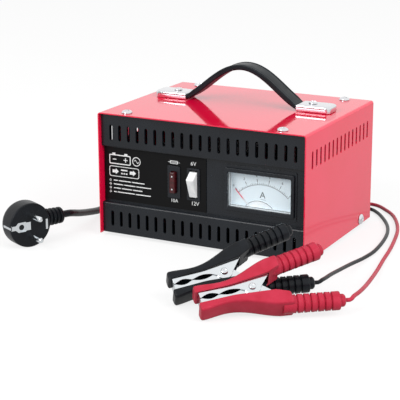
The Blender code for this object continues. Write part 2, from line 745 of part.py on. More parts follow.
def handle_cap(name, side, looks):
    """A pressed cap over the strap's end, open towards the middle, screwed down through the strap."""
    roof = CAP_ROOM
    height = roof + CAP_WALL
    inner, outer = CAP_IN_X, CAP_OUT_X
    outline = [(inner, -CAP_W / 2)]
    outline += arc((outer - CAP_CORNER_R, CAP_CORNER_R - CAP_W / 2), CAP_CORNER_R, -90, 0, 4)
    outline += arc((outer - CAP_CORNER_R, CAP_W / 2 - CAP_CORNER_R), CAP_CORNER_R, 0, 90, 4)
    outline += [(inner, CAP_W / 2)]
    if side < 0:
        outline = [(-x, y) for x, y in reversed(outline)]
    cap = add(name, plate_mesh([outline], 2 * height, TOP_VIEW, 0.001), PARTS, looks["chrome"],
              at=(0, STRAP_Y, STRAP_Z))
    cut(cap, name + "_base", box_mesh((CASE_W, CASE_D, height * 2)), (0, 0, STRAP_Z - height))
    length = strap_end() + GAP - inner + 0.01
    centre = side * (inner - 0.01 + length / 2)
    cut(cap, name + "_pocket", box_mesh((length, STRAP_W + 2 * GAP, roof * 2)), (centre, STRAP_Y, STRAP_Z))
    cut(cap, name + "_hole", rod_mesh(SCREW_R + GAP, 0.03, UPRIGHT, 12),
        (side * CAP_SCREW_X, STRAP_Y, STRAP_Z))
    profile = screw_profile(CAP_SCREW_HEAD_R, CAP_SCREW_HEAD_H, height + SHEET + 0.004)
    add(name.replace("cap", "screw"), turned_mesh(profile, UPRIGHT), PARTS, looks["chrome"],
        at=(side * CAP_SCREW_X, STRAP_Y, STRAP_Z + height + GAP))


# ---------------------------------------------------------------- front controls

def label_plate(looks):
    middle = (RECESS_BOTTOM + RECESS_TOP) / 2
    outlines = [rectangle(LABEL_X0, LABEL_X1, middle - LABEL_H / 2, middle + LABEL_H / 2)]
    for x in (FUSE_X, SWITCH_X):
        hole = rounded_box(BEZEL_W + 2 * GAP, BEZEL_H + 2 * GAP, 0.0008, 2, (x, CONTROL_Z))
        outlines.append(hole)
    add("label_plate", plate_mesh(outlines, LABEL_T, FRONT_VIEW), PARTS, looks["label_film"],
        at=(0, -RECESS_Y - GAP - LABEL_T / 2, 0))


def socket_body(name, x, well, well_depth, looks):
    """A snap-in housing: a bezel in front of the panel and a box behind it, with a well in it."""
    bezel = rounded_box(BEZEL_W, BEZEL_H, 0.0008, 2)
    body = add(name, plate_mesh([bezel], BEZEL_T, FRONT_VIEW), PARTS, looks["black_plastic"],
               at=(x, BEZEL_Y + BEZEL_T / 2, CONTROL_Z))
    depth = SOCKET_D + BEZEL_T / 2
    unite(body, name + "_box", box_mesh((SOCKET_W, depth, SOCKET_H)),
          (x, BEZEL_Y + BEZEL_T / 2 + depth / 2, CONTROL_Z))
    cut(body, name + "_well", box_mesh((well[0], 2 * well_depth, well[1])), (x, BEZEL_Y, CONTROL_Z))
    return body


def fuse_and_holder(looks):
    well = (FUSE_W + 2 * GAP, FUSE_H + 2 * GAP)
    well_depth = FUSE_HEAD_D - FUSE_PROUD + GAP
    holder = socket_body("fuse_holder", FUSE_X, well, well_depth, looks)
    slit = (FUSE_BLADE_T + 2 * GAP, FUSE_BLADE_L, FUSE_BLADE_W + 2 * GAP)
    head_back = BEZEL_Y - FUSE_PROUD + FUSE_HEAD_D
    for z in (-1, 1):
        cut(holder, "blade_slit", box_mesh(slit),
            (FUSE_X, head_back + FUSE_BLADE_L / 2 + GAP, CONTROL_Z + z * FUSE_BLADE_Z))
    fuse = add("fuse", box_mesh((FUSE_W, FUSE_HEAD_D, FUSE_H), 0.0006), PARTS, looks["fuse_red"],
               at=(FUSE_X, head_back - FUSE_HEAD_D / 2, CONTROL_Z))
    blade = (FUSE_BLADE_T, FUSE_BLADE_L, FUSE_BLADE_W)
    for z in (-1, 1):
        unite(fuse, "blade", box_mesh(blade),
              (FUSE_X, head_back - 0.0005 + FUSE_BLADE_L / 2, CONTROL_Z + z * FUSE_BLADE_Z))


def rocker_outline():
    """The rocker's end view about its pivot, as (forward, up), tipped the way it rests."""
    face = [(0.0047, 0.01115), (0.0112, 0.0059), (0.0113, 0.0048), (0.0050, -0.0114)]
    back = [(0.0015, -0.0113), (-0.0025, -0.006), (-0.0035, 0), (-0.0025, 0.006), (0.001, 0.0111)]
    return face + back


def switch(looks):
    socket_body("switch_housing", SWITCH_X, (ROCKER_W + 2 * GAP, ROCKER_WELL_H), ROCKER_WELL_D, looks)
    outline = [(-forward, up) for forward, up in rocker_outline()]
    add("switch_rocker", plate_mesh([outline], ROCKER_W, SIDE_VIEW, 0.0003), PARTS, looks["white_plastic"],
        at=(SWITCH_X, ROCKER_PIVOT_Y, CONTROL_Z))


def meter_case(looks):
    height = METER_CASE_TOP - METER_CASE_BOTTOM
    middle = (METER_CASE_TOP + METER_CASE_BOTTOM) / 2
    front = METER_BACK_Y - METER_CASE_D
    case = add("meter_case", box_mesh((METER_CASE_W, METER_CASE_D, height), 0.0008), PARTS,
               looks["black_plastic"], at=(METER_X, front + METER_CASE_D / 2, middle))
    inside = (METER_CASE_W - 2 * METER_CASE_WALL, METER_CASE_D - 2 * METER_CASE_WALL,
              height - 2 * METER_CASE_WALL)
    cut(case, "meter_room", box_mesh(inside), (METER_X, front + METER_CASE_D / 2, middle))
    cut(case, "meter_mouth", box_mesh((WINDOW_W, 4 * METER_CASE_WALL, WINDOW_H)), (METER_X, front, METER_Z))


def meter_front(looks):
    window = rounded_box(WINDOW_W, WINDOW_H, 0.0008, 2)
    flange = rounded_box(METER_FRAME_W, METER_FRAME_H, 0.0015, 2)
    flange_t = METER_FRAME_PROUD - METER_PAD_T - GAP
    back = METER_FRONT_Y + flange_t
    bezel = add("meter_bezel", plate_mesh([flange, window], flange_t, FRONT_VIEW, 0.0004), PARTS,
                looks["black_plastic"], at=(METER_X, METER_FRONT_Y + flange_t / 2, METER_Z))
    rim = rounded_box(WINDOW_W + 2 * METER_RIM, WINDOW_H + 2 * METER_RIM, 0.001, 2)
    start = METER_FRONT_Y + flange_t / 2
    end = -RECESS_Y + PANEL_WALL
    wider = rounded_box(WINDOW_W + 2 * METER_RIM * 0.5, WINDOW_H + METER_RIM, 0.0008, 2)
    unite(bezel, "meter_rim", plate_mesh([rim, wider], end - start, FRONT_VIEW),
          (METER_X, (start + end) / 2, METER_Z))
    pane = rounded_box(WINDOW_W + METER_RIM - 2 * GAP, WINDOW_H + METER_RIM - 2 * GAP, 0.0006, 2)
    add("meter_window", plate_mesh([pane], WINDOW_T, FRONT_VIEW), PARTS, looks["clear_plastic"],
        at=(METER_X, back + GAP + WINDOW_T / 2, METER_Z))


def meter_works(looks):
    room = METER_CASE_W - 2 * METER_CASE_WALL - 2 * GAP
    low = METER_CASE_BOTTOM + METER_CASE_WALL + GAP
    high = METER_CASE_TOP - METER_CASE_WALL - GAP
    card = rectangle(METER_X - room / 2, METER_X + room / 2, low, high)
    hole = arc((METER_X, PIVOT_Z), MOVEMENT_BOSS_R + GAP, 0, 340, 17)
    hole_low = low + 0.0005
    hole = [(x, max(z, hole_low)) for x, z in hole]
    add("meter_dial", plate_mesh([card, hole], DIAL_T, FRONT_VIEW), PARTS, looks["dial_card"],
        at=(0, DIAL_Y + DIAL_T / 2, 0))
    back = METER_BACK_Y - METER_CASE_WALL - GAP
    behind = DIAL_Y + DIAL_T + GAP
    body_r = min(MOVEMENT_R, PIVOT_Z - low)
    boss_r = min(MOVEMENT_BOSS_R, PIVOT_Z - hole_low - GAP)
    boss_front = DIAL_Y - 0.0002
    bore = NEEDLE_SHAFT_R + RUNNING_GAP
    shaft_end = behind + 0.004
    profile = [(bore, back - boss_front), (boss_r, back - boss_front), (boss_r, back - behind),
               (body_r, back - behind), (body_r, 0), (0, 0), (0, back - shaft_end - GAP),
               (bore, back - shaft_end - GAP), (bore, back - boss_front)]
    add("meter_movement", turned_mesh(profile, ALONG_FRONT, 20), PARTS, looks["steel"],
        at=(METER_X, back, PIVOT_Z))
    meter_needle(looks, shaft_end)


def meter_needle(looks, shaft_end):
    """A tapered pointer with a tail, on a hub and shaft that turn in the movement."""
    angle = math.radians(NEEDLE_REST_DEG)
    along = Vector((math.cos(angle), math.sin(angle)))
    across = Vector((-along.y, along.x))
    corners = [(-NEEDLE_TAIL, -0.0011), (NEEDLE_L, -0.00025), (NEEDLE_L, 0.00025), (-NEEDLE_TAIL, 0.0011)]
    outline = [tuple(along * u + across * v) for u, v in corners]
    needle_y = DIAL_Y - NEEDLE_LIFT - NEEDLE_T / 2
    needle = add("meter_needle", plate_mesh([outline], NEEDLE_T, FRONT_VIEW), PARTS, looks["needle_red"],
                 at=(METER_X, needle_y, PIVOT_Z))
    unite(needle, "needle_hub", rod_mesh(NEEDLE_HUB_R, NEEDLE_T * 2, ALONG_FRONT, 12),
          (METER_X, needle_y, PIVOT_Z))
    unite(needle, "needle_shaft", rod_mesh(NEEDLE_SHAFT_R, shaft_end - needle_y, ALONG_FRONT, 8),
          (METER_X, (needle_y + shaft_end) / 2, PIVOT_Z))


# ---------------------------------------------------------------- inside

def transformer(looks):
    window_w = (CORE_W - 2 * LIMB_W) / 2
    foot = BASE_TOP + GAP
    middle = foot + CORE_H / 2
    outlines = [rectangle(-CORE_W / 2, CORE_W / 2, -CORE_H / 2, CORE_H / 2)]
    for side in (-1, 1):
        centre = side * (LIMB_W + window_w) / 2
        outlines.append(rectangle(centre - window_w / 2, centre + window_w / 2, -CORE_WINDOW_H / 2,
                                  CORE_WINDOW_H / 2))
    add("transformer_core", plate_mesh(outlines, CORE_STACK, FRONT_VIEW), PARTS, looks["core_steel"],
        at=(CORE_X, CORE_Y, middle))
    thick = window_w - 2 * GAP
    inner = rectangle(-LIMB_W / 2 - GAP, LIMB_W / 2 + GAP, -CORE_STACK / 2 - GAP, CORE_STACK / 2 + GAP)
    outer = rounded_box(LIMB_W + 2 * GAP + 2 * thick, CORE_STACK + 2 * GAP + 2 * thick, WINDING_EDGE_R, 3)
    add("transformer_winding", plate_mesh([outer, inner], CORE_WINDOW_H - 2 * GAP, TOP_VIEW), PARTS,
        looks["copper"], at=(CORE_X, CORE_Y, middle))


def heat_sink(looks):
    """A finned plate that stands on the base, with the rectifier and the thermal cut-out on its flat side."""
    pitch = (SINK_W - SINK_FIN_T) / (SINK_FINS - 1)
    outline = [(0, SINK_W / 2), (0, -SINK_W / 2)]
    for index in range(SINK_FINS):
        start = -SINK_W / 2 + index * pitch
        tip = SINK_PLATE + SINK_FIN_L
        outline += [(tip, start), (tip, start + SINK_FIN_T)]
        if index < SINK_FINS - 1:
            outline += [(SINK_PLATE, start + SINK_FIN_T), (SINK_PLATE, start + pitch)]
    foot = BASE_TOP + GAP
    add("heat_sink", plate_mesh([outline], SINK_H, TOP_VIEW), PARTS, looks["aluminium"],
        at=(SINK_X, SINK_Y, foot + SINK_H / 2))
    add("rectifier", box_mesh((RECTIFIER_T, RECTIFIER_W, RECTIFIER_W), 0.0012), PARTS, looks["black_plastic"],
        at=(SINK_X - GAP - RECTIFIER_T / 2, SINK_Y, RECTIFIER_Z))
    add("thermal_cutout", rod_mesh(CUTOUT_R, CUTOUT_T, ALONG_X, 20), PARTS, looks["aluminium"],
        at=(SINK_X - GAP - CUTOUT_T / 2, SINK_Y, CUTOUT_Z))


# ---------------------------------------------------------------- mains side

def strain_relief(looks):
    """A tapered ribbed sleeve on a flange, with a neck through the rear panel."""
    neck = PANEL_WALL + 0.004
    profile = [(0, RELIEF_L)]
    steps = 2 * RELIEF_RIBS + 1
    for index in range(steps + 1):
        share = index / steps
        radius = CORD_D / 2 + 0.0008 + share * 0.0022 + (0.0005 if index % 2 else 0.0)
        profile.append((radius, RELIEF_L - share * (RELIEF_L - RELIEF_FLANGE_T)))
    profile += [(RELIEF_FLANGE_R, RELIEF_FLANGE_T), (RELIEF_FLANGE_R, 0), (RELIEF_NECK_R, 0),
                (RELIEF_NECK_R, -neck), (0, -neck)]
    add("strain_relief", turned_mesh(profile, ALONG_BACK), PARTS, looks["rubber"],
        at=(RELIEF_X, BAND_Y + GAP, RELIEF_Z))


def coil_points():
    """The coil's centre line: in along the floor, up a layer where the spiral turns, and out again."""
    sweep = 2 * math.pi * COIL_TURNS
    count = round(24 * COIL_TURNS)
    turn = np.linspace(-sweep / 2, sweep / 2, count + 1)
    soft = 0.9
    reach = np.sqrt(turn**2 + soft**2)
    radius = COIL_OUTER_R - COIL_PITCH / (2 * math.pi) * (reach[0] - reach)
    climb = np.clip(turn / math.pi + 0.5, 0, 1)
    height = COIL_LOW_Z + COIL_LAYER * climb**2 * (3 - 2 * climb)
    angle = turn + sweep / 2 - math.pi / 2
    loops = np.column_stack([COIL_X + radius * np.cos(angle), COIL_Y + radius * np.sin(angle), height])
    start = loops[0] - np.array([COIL_LEAD, 0, 0])
    end = loops[-1] - np.array([0, COIL_LEAD, 0])
    return np.vstack([start, loops, end])


def least_gap(points, diameter, apart):
    """The least space between a tube's surface and itself, leaving out near neighbours."""
    fine = np.vstack([points[:-1] + share * np.diff(points, axis=0) for share in (0.0, 0.25, 0.5, 0.75)])
    order = np.concatenate([np.arange(len(points) - 1) + share for share in (0.0, 0.25, 0.5, 0.75)])
    spacing = np.linalg.norm(fine[:, None] - fine[None], axis=2)
    spacing[np.abs(order[:, None] - order[None]) < apart] = 1.0
    return float(spacing.min() - diameter)


def mains_route():
    """From the plug's boot down to the floor, along the case's side and round to the coil."""
    turn = math.radians(PLUG_TURN_DEG)
    out = Vector((-math.sin(turn), math.cos(turn), 0))
    pins = Vector((math.cos(turn), math.sin(turn), 0))
    tail = Vector(PLUG_CENTRE) - pins * PLUG_BOOT_BACK + out * (PLUG_BOOT_END + GAP)
    coil = coil_points()[0]
    return [tuple(tail), tuple(tail + out * CORD_D),
            (-0.1274, -0.0790, 0.0181), (-0.1288, -0.0675, 0.0148), (-0.1318, -0.0470, 0.0098),
            (-0.1340, -0.0260, 0.0056), (-0.1362, -0.0080, 0.0036), (-0.1380, 0.0150, COIL_LOW_Z),
            (-0.1385, 0.0450, COIL_LOW_Z), (-0.1345, 0.0740, COIL_LOW_Z), (-0.1180, 0.0960, COIL_LOW_Z),
            (-0.0930, 0.1065, COIL_LOW_Z), (-0.0600, 0.1080, COIL_LOW_Z), (-0.0350, 0.1062, COIL_LOW_Z),
            (coil[0] - GAP - CORD_D, coil[1], coil[2]), (coil[0] - GAP, coil[1], coil[2])]


def relief_route():
    """From the strain relief down onto the top of the coil."""
    start = BAND_Y + GAP + RELIEF_L + GAP
    end = coil_points()[-1]
    run = end[1] - GAP - start
    fall = RELIEF_Z - end[2]
    points = [(RELIEF_X, start, RELIEF_Z), (RELIEF_X, start + CORD_D, RELIEF_Z)]
    for share in (0.3, 0.5, 0.7):
        ease = share * share * (3 - 2 * share)
        points.append((RELIEF_X, start + share * run, RELIEF_Z - ease * fall))
    points.append((RELIEF_X, end[1] - GAP - CORD_D, end[2]))
    points.append((RELIEF_X, end[1] - GAP, end[2]))
    return points


def mains_cord(looks):
    coil = coil_points()
    print("coil: least gap to itself", round(least_gap(coil, CORD_D, 8) * 1000, 2), "mm")
    add("mains_cord_coil", tube_mesh(coil, CORD_D, 1), PARTS, looks["black_pvc"])
    add("mains_cord_end", tube_mesh(smooth_route(mains_route(), 2.4 * CORD_D, COIL_LOW_Z), CORD_D), PARTS,
        looks["black_pvc"])
    add("mains_cord_lead", tube_mesh(smooth_route(relief_route(), CORD_D), CORD_D), PARTS,
        looks["black_pvc"])


def plug(looks):
    """An angled plug standing on its rim, its pins one above the other; Z runs out along the pins."""
    turn = math.radians(PLUG_TURN_DEG)
    pins = Vector((math.cos(turn), math.sin(turn), 0))
    up = Vector((0, 0, 1))
    side = pins.cross(up)
    stand = bpy.data.objects.new("plug_stand", None)
    PARTS.objects.link(stand)
    stand.matrix_world = Matrix.Translation(PLUG_CENTRE) @ Matrix((up, side, pins)).transposed().to_4x4()
    back = PLUG_T
    profile = [(0, 0), (PLUG_R - 0.0015, 0), (PLUG_R, -0.0012), (PLUG_R, -back + 0.006),
               (PLUG_R - 0.002, -back + 0.002), (PLUG_R - 0.005, -back), (0, -back)]
    body = add("plug_body", turned_mesh(profile, UPRIGHT, 28), PARTS, looks["black_pvc"], parent=stand)
    boot = [(0, PLUG_BOOT_END), (PLUG_BOOT_R - 0.0015, PLUG_BOOT_END),
            (PLUG_BOOT_R - 0.0006, PLUG_BOOT_END - 0.001)]
    length = PLUG_BOOT_END - PLUG_R
    for index in range(4):
        top = PLUG_BOOT_END - 0.003 - index * length / 4.6
        boot += [(PLUG_BOOT_R - 0.0006, top), (PLUG_BOOT_R - 0.0014, top - 0.0004),
                 (PLUG_BOOT_R - 0.0014, top - 0.0014), (PLUG_BOOT_R - 0.0003, top - 0.0018)]
    boot += [(PLUG_BOOT_R, PLUG_R - 0.003), (PLUG_BOOT_R, 0), (0, 0)]
    unite(body, "plug_boot", turned_mesh(boot, Matrix.Rotation(math.pi / 2, 4, "X")), (0, 0, -PLUG_BOOT_BACK))
    clip_w, clip_t, clip_l = 0.0055, 0.0012, 0.012
    cut(body, "clip_seat", box_mesh((clip_w + 2 * GAP, 0.004, 2 * clip_l)), (0, PLUG_R, 0))
    for index, x in enumerate((-PIN_SPACING / 2, PIN_SPACING / 2), 1):
        root = 0.008
        cut(body, "pin_hole", rod_mesh(PIN_R + GAP, 2 * root, UPRIGHT, 12), (x, 0, 0))
        shank = [(0, PIN_L), (PIN_R * 0.5, PIN_L), (PIN_R, PIN_L - 0.0015), (PIN_R, GAP - root),
                 (0, GAP - root)]
        add(f"plug_pin_{index}", turned_mesh(shank, UPRIGHT, 12), PARTS, looks["nickel"],
            at=(x, 0, 0), parent=stand)
    cut(body, "earth_hole", rod_mesh(0.0026, 0.018, UPRIGHT, 12), (0, 0.0095, 0))
    add("plug_earth_clip", box_mesh((clip_w, clip_t, clip_l - GAP), 0.0003), PARTS, looks["nickel"],
        at=(0, PLUG_R - 0.002 + GAP + clip_t / 2, -clip_l / 2), parent=stand)


# ---------------------------------------------------------------- output side

def output_grommet(looks):
    """A flat rubber grommet with a short sleeve for each lead."""
    flange = grommet_outline(GROMMET_R + 0.002)
    grommet = add("output_grommet", plate_mesh([flange], 0.002, FRONT_VIEW), PARTS, looks["rubber"],
                  at=(0, BAND_Y + GAP + 0.001, 0))
    neck = PANEL_WALL + 0.003
    unite(grommet, "grommet_neck", plate_mesh([grommet_outline(GROMMET_R)], neck + 0.001, FRONT_VIEW),
          (0, BAND_Y + GAP + 0.001 - (neck + 0.001) / 2, 0))
    sleeve = [(0, GROMMET_SLEEVE_L), (LEAD_D / 2 + 0.0006, GROMMET_SLEEVE_L), (LEAD_D / 2 + 0.0015, 0),
              (0, 0)]
    for x in (BLACK_EXIT_X, RED_EXIT_X):
        unite(grommet, "grommet_sleeve", turned_mesh(sleeve, ALONG_BACK, 12),
              (x, BAND_Y + GAP + 0.001, OUTPUT_Z))


def lead_end(colour):
    """Where a lead meets the nose of its clamp's lower boot, and the direction it leaves in."""
    frame = clamp_frame(CLAMPS[colour])
    slope = math.radians(-BOOT_SLOPE_DEG)
    reach = BOOT_L + BOOT_NOSE_L + GAP
    along = Vector((math.cos(slope), 0, math.sin(slope)))
    tip = frame @ (Vector((BOOT_X, 0, -BOOT_Z)) + along * reach)
    return tip, (frame.to_3x3() @ along).normalized()


def lead(colour, exit_x, middle, looks):
    """From the grommet down to the floor, round the case's side and up into the clamp's boot."""
    start = BAND_Y + GAP + 0.001 + GROMMET_SLEEVE_L + GAP
    tip, out = lead_end(colour)
    route = [(exit_x, start, OUTPUT_Z), (exit_x, start + LEAD_D, OUTPUT_Z)] + middle
    route += [tuple(tip + out * LEAD_D), tuple(tip)]
    add(f"{colour}_lead", tube_mesh(smooth_route(route, 3 * LEAD_D, FLOOR_Z), LEAD_D), PARTS,
        looks[f"{colour}_pvc"])


FLOOR_Z = LEAD_D / 2 + 0.0001
BLACK_MIDDLE = [
    (0.0805, 0.0945, 0.0105), (0.0835, 0.1035, 0.0045), (0.0905, 0.1060, FLOOR_Z),
    (0.0995, 0.0985, FLOOR_Z), (0.1110, 0.0830, FLOOR_Z), (0.1220, 0.0640, FLOOR_Z),
    (0.1300, 0.0430, FLOOR_Z), (0.1355, 0.0170, FLOOR_Z), (0.1385, -0.0130, FLOOR_Z),
    (0.1380, -0.0380, 0.0028), (0.1370, -0.0633, 0.0053), (0.1378, -0.0913, 0.0088),
    (0.1388, -0.1130, 0.0116), (0.1398, -0.1270, 0.0131), (0.1399, -0.1350, 0.0138)]
RED_MIDDLE = [
    (0.0700, 0.1000, 0.0090), (0.0725, 0.1130, 0.0038), (0.0795, 0.1220, FLOOR_Z),
    (0.0900, 0.1215, FLOOR_Z), (0.1045, 0.1095, FLOOR_Z), (0.1150, 0.0975, FLOOR_Z),
    (0.1255, 0.0790, FLOOR_Z), (0.1360, 0.0530, FLOOR_Z), (0.1440, 0.0215, FLOOR_Z),
    (0.1495, -0.0060, FLOOR_Z), (0.1536, -0.0317, 0.0018), (0.1590, -0.0595, 0.0028),
    (0.1648, -0.0894, 0.0052), (0.1705, -0.1201, 0.0086), (0.1738, -0.1420, 0.0114),
    (0.1744, -0.1540, 0.0124)]


def clamp_frame(clamp):
    """The clamp's own frame in the world: turned on the floor, tilted on its side, then pitched."""
    turn, tilt, pitch = (math.radians(clamp[key]) for key in ("turn", "tilt", "pitch"))
    flat = Vector((math.cos(turn), math.sin(turn), 0))
    open_flat = Vector((-math.sin(turn), math.cos(turn), 0)) * math.cos(tilt) + Vector((0, 0, math.sin(tilt)))
    x_axis = flat * math.cos(pitch) + open_flat * math.sin(pitch)
    z_axis = open_flat * math.cos(pitch) - flat * math.sin(pitch)
    y_axis = z_axis.cross(x_axis)
    turned = Matrix((x_axis, y_axis, z_axis)).transposed().to_4x4()
    return Matrix.Translation(clamp["rivet"]) @ turned


def outer_edge():
    """The cover's outer edge from tip to knee: a straight rise that sags along a sharpened sine wave."""
    shares = np.linspace(0, 1, SAG_STEPS + 1)
    wave = np.sin(math.pi * shares ** SAG_LEAN).clip(0, 1) ** SAG_POWER
    return TIP_X + shares * (KNEE_X - TIP_X), TIP_OUT + shares * (KNEE_OUT - TIP_OUT) - SAG * wave


def outer_line(x):
    """Height of the cover's outer edge over the clamp's middle."""
    return float(np.interp(x, *outer_edge()))


def under_edge(front, rear, drop):
    """The outer edge dropped by a wall, from rear to front."""
    between = [x for x in outer_edge()[0][::-1] if front < x < rear]
    return [(x, outer_line(x) - drop) for x in (rear, *between, front)]


def flip(points, half):
    """The same outline for the lower half."""
    return points if half > 0 else [(x, -z) for x, z in reversed(points)]


def jaw_outline():
    """One jaw's side: toothed tip, two hollows, an ear round the rivet and a rising back."""
    tip = TIP_X + COVER_WALL
    points = [(tip, JAW_TOUCH)]
    for start, end, depth in JAW_HOLLOWS:
        for share in np.linspace(0, 1, 7):
            along = tip * (start + share * (end - start))
            points.append((along, JAW_TOUCH + depth * math.sin(share * math.pi)))
    points += arc((0, 0), EAR_R, 196, 344, 8)
    rear = KNEE_X - 0.001
    return points + [(rear, KNEE_IN + 0.0002)] + under_edge(tip, rear, COVER_WALL + GAP)


def jaw_hollow(sheet):
    """The space under the jaw's web, open below and behind."""
    tip = TIP_X + COVER_WALL + sheet
    rear = KNEE_X + 0.01
    return [(tip, -0.02), (rear, -0.02)] + under_edge(tip, rear, COVER_WALL + GAP + sheet)


def tongue_middle(end):
    """The middle line of the strip that runs from the web into the boot."""
    slope = math.tan(math.radians(BOOT_SLOPE_DEG))
    root = KNEE_X - 0.009
    joint = BOOT_X + 0.002
    return [(root, outer_line(root) - COVER_WALL - GAP - TONGUE_T / 2 - 0.0001),
            (joint, BOOT_Z + (joint - BOOT_X) * slope), (end, BOOT_Z + (end - BOOT_X) * slope)]


def tongue_outline(thickness, end):
    over = [(x, z + thickness / 2) for x, z in tongue_middle(end)]
    under = [(x, z - thickness / 2) for x, z in tongue_middle(end)]
    return under + over[::-1]


def jaw(colour, half, width, stand, looks):
    name = f"{colour}_clamp_{'upper' if half > 0 else 'lower'}_jaw"
    piece = add(name, plate_mesh([flip(jaw_outline(), half)], width, FRONT_VIEW), PARTS, looks["nickel"],
                parent=stand)
    hollow_outline = flip(jaw_hollow(JAW_SHEET), half)
    cut(piece, name + "_hollow", plate_mesh([hollow_outline], width - 2 * JAW_SHEET, FRONT_VIEW))
    strip = flip(tongue_outline(TONGUE_T, TONGUE_X), half)
    unite(piece, name + "_tongue", plate_mesh([strip], TONGUE_W, FRONT_VIEW))
    cut(piece, name + "_ears", rod_mesh(RIVET_R + GAP, 2 * width, ALONG_BACK, 12))


def boot_profile():
    """The boot from its nose down to the cover: plain end, then ribs."""
    profile = [(0, BOOT_L + BOOT_NOSE_L), (BOOT_NOSE_R - 0.0007, BOOT_L + BOOT_NOSE_L),
               (BOOT_NOSE_R, BOOT_L + BOOT_NOSE_L - 0.0008), (BOOT_NOSE_R, BOOT_L), (BOOT_R - 0.0006, BOOT_L),
               (BOOT_R, BOOT_L - 0.0007)]
    for index in range(BOOT_RIBS):
        top = BOOT_L - 0.0062 - index * BOOT_RIB_PITCH
        profile += [(BOOT_R, top), (BOOT_GROOVE_R, top - 0.0005), (BOOT_GROOVE_R, top - 0.0013),
                    (BOOT_R, top - 0.0018)]
    return profile + [(BOOT_R, 0.0), (0, 0.0)]


def clamp_cover(colour, half, stand, looks):
    """A moulded cover over one jaw, with a ribbed boot round the jaw's tongue."""
    name = f"{colour}_clamp_{'upper' if half > 0 else 'lower'}_cover"
    outline = [(TIP_X - 0.001, TIP_IN), (WAIST_X, WAIST_IN), (KNEE_X - 0.001, KNEE_IN),
               (BOOT_X + 0.003, BOOT_Z - 0.0055), (BOOT_X + 0.003, BOOT_Z + 0.0055)]
    outline += under_edge(TIP_X, KNEE_X, 0)
    mesh = plate_mesh([flip(outline, half)], CLAMP_W, FRONT_VIEW, 0.0014)
    for vertex in mesh.vertices:
        share = (vertex.co.x - KNEE_X) / (TIP_X - KNEE_X)
        vertex.co.y *= 1 + share * (CLAMP_TIP_W / CLAMP_W - 1)
    piece = add(name, mesh, PARTS, looks[f"{colour}_pvc"], parent=stand)
    lie = Matrix.Rotation(math.pi / 2 - half * math.radians(BOOT_SLOPE_DEG), 4, "Y")
    unite(piece, name + "_boot", turned_mesh(boot_profile(), lie, 10), (BOOT_X, 0, half * BOOT_Z))
    tip = TIP_X + COVER_WALL - GAP
    space = [(tip, -0.02), (KNEE_X, -0.02)] + under_edge(tip, KNEE_X, COVER_WALL)
    cut(piece, name + "_room", plate_mesh([flip(space, half)], UPPER_JAW_W + 2 * GAP, FRONT_VIEW))
    slit = tongue_outline(TONGUE_T + 2 * GAP, TONGUE_X + GAP)
    cut(piece, name + "_slit", plate_mesh([flip(slit, half)], TONGUE_W + 2 * GAP, FRONT_VIEW))


def rivet(colour, stand, looks):
    head = UPPER_JAW_W / 2 + GAP
    dome = [(RIVET_HEAD_R * math.sin(a), head + 0.0014 * math.cos(a)) for a in np.radians([0, 45, 90])]
    foot = [(x, -z) for x, z in reversed(dome)]
    profile = dome + [(RIVET_R, head), (RIVET_R, -head)] + foot
    add(f"{colour}_clamp_rivet", turned_mesh(profile, ALONG_BACK, 12), PARTS, looks["nickel"], parent=stand)


def torsion_spring(colour, stand, looks):
    """A coil round the rivet whose two legs press the jaws' webs apart behind it."""
    leg_x = KNEE_X - 0.004
    places = np.array(tongue_middle(TONGUE_X))
    leg_z = float(np.interp(leg_x, places[:, 0], places[:, 1])) - TONGUE_T / 2 - GAP - 0.6 * SPRING_WIRE
    reach = math.hypot(leg_x, leg_z)
    lead_angle = math.atan2(leg_z, leg_x) + math.acos(SPRING_R / reach)
    sweep = 2 * math.pi * SPRING_TURNS - 2 * lead_angle
    count = round(8 * sweep / (2 * math.pi))
    points = []
    for index in range(count + 1):
        share = index / count
        angle = lead_angle + share * sweep
        across = (share - 0.5) * SPRING_PITCH * sweep / (2 * math.pi)
        points.append((SPRING_R * math.cos(angle), across, SPRING_R * math.sin(angle)))
    first = (leg_x, points[0][1], leg_z)
    last = (leg_x, points[-1][1], -leg_z)
    points = [first] + points + [last]
    gap = least_gap(np.array(points), SPRING_WIRE, 5)
    print(colour, "clamp spring: least gap to itself", round(gap * 1000, 2), "mm")
    add(f"{colour}_clamp_spring", tube_mesh(points, SPRING_WIRE, 1), PARTS, looks["steel"], parent=stand)


def clamp(colour, looks):
    stand = bpy.data.objects.new(f"{colour}_clamp_stand", None)
    PARTS.objects.link(stand)
    stand.matrix_world = clamp_frame(CLAMPS[colour])
    jaw(colour, 1, UPPER_JAW_W, stand, looks)
    jaw(colour, -1, LOWER_JAW_W, stand, looks)
    clamp_cover(colour, 1, stand, looks)
    clamp_cover(colour, -1, stand, looks)
    rivet(colour, stand, looks)
    torsion_spring(colour, stand, looks)


def main():
    start_scene()
    looks = make_finishes()
    case_cover(looks)
    base_plate(looks)
    front_panel(looks)
    rear_panel(looks)
    screws(looks)
    feet(looks)
    handle_strap(looks)
    handle_cap("handle_cap_left", -1, looks)
    handle_cap("handle_cap_right", 1, looks)
    label_plate(looks)
    fuse_and_holder(looks)
    switch(looks)
    meter_case(looks)
    meter_front(looks)
    meter_works(looks)
    transformer(looks)
    heat_sink(looks)
    strain_relief(looks)
    mains_cord(looks)
    plug(looks)
    output_grommet(looks)
    clamp("black", looks)
    clamp("red", looks)
    lead("black", BLACK_EXIT_X, BLACK_MIDDLE, looks)
    lead("red", RED_EXIT_X, RED_MIDDLE, looks)
    bpy.context.view_layer.update()


main()
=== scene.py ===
"""Looks of a car battery charger: enamelled cover, moulded panels, label, meter, cords and spring clamps.

Lengths are metres in the CAD frame: +Z up, the controls face -Y, the origin is on the floor under the case.
"""

import math

import bmesh
import bpy
import numpy as np
from mathutils import Matrix, Vector


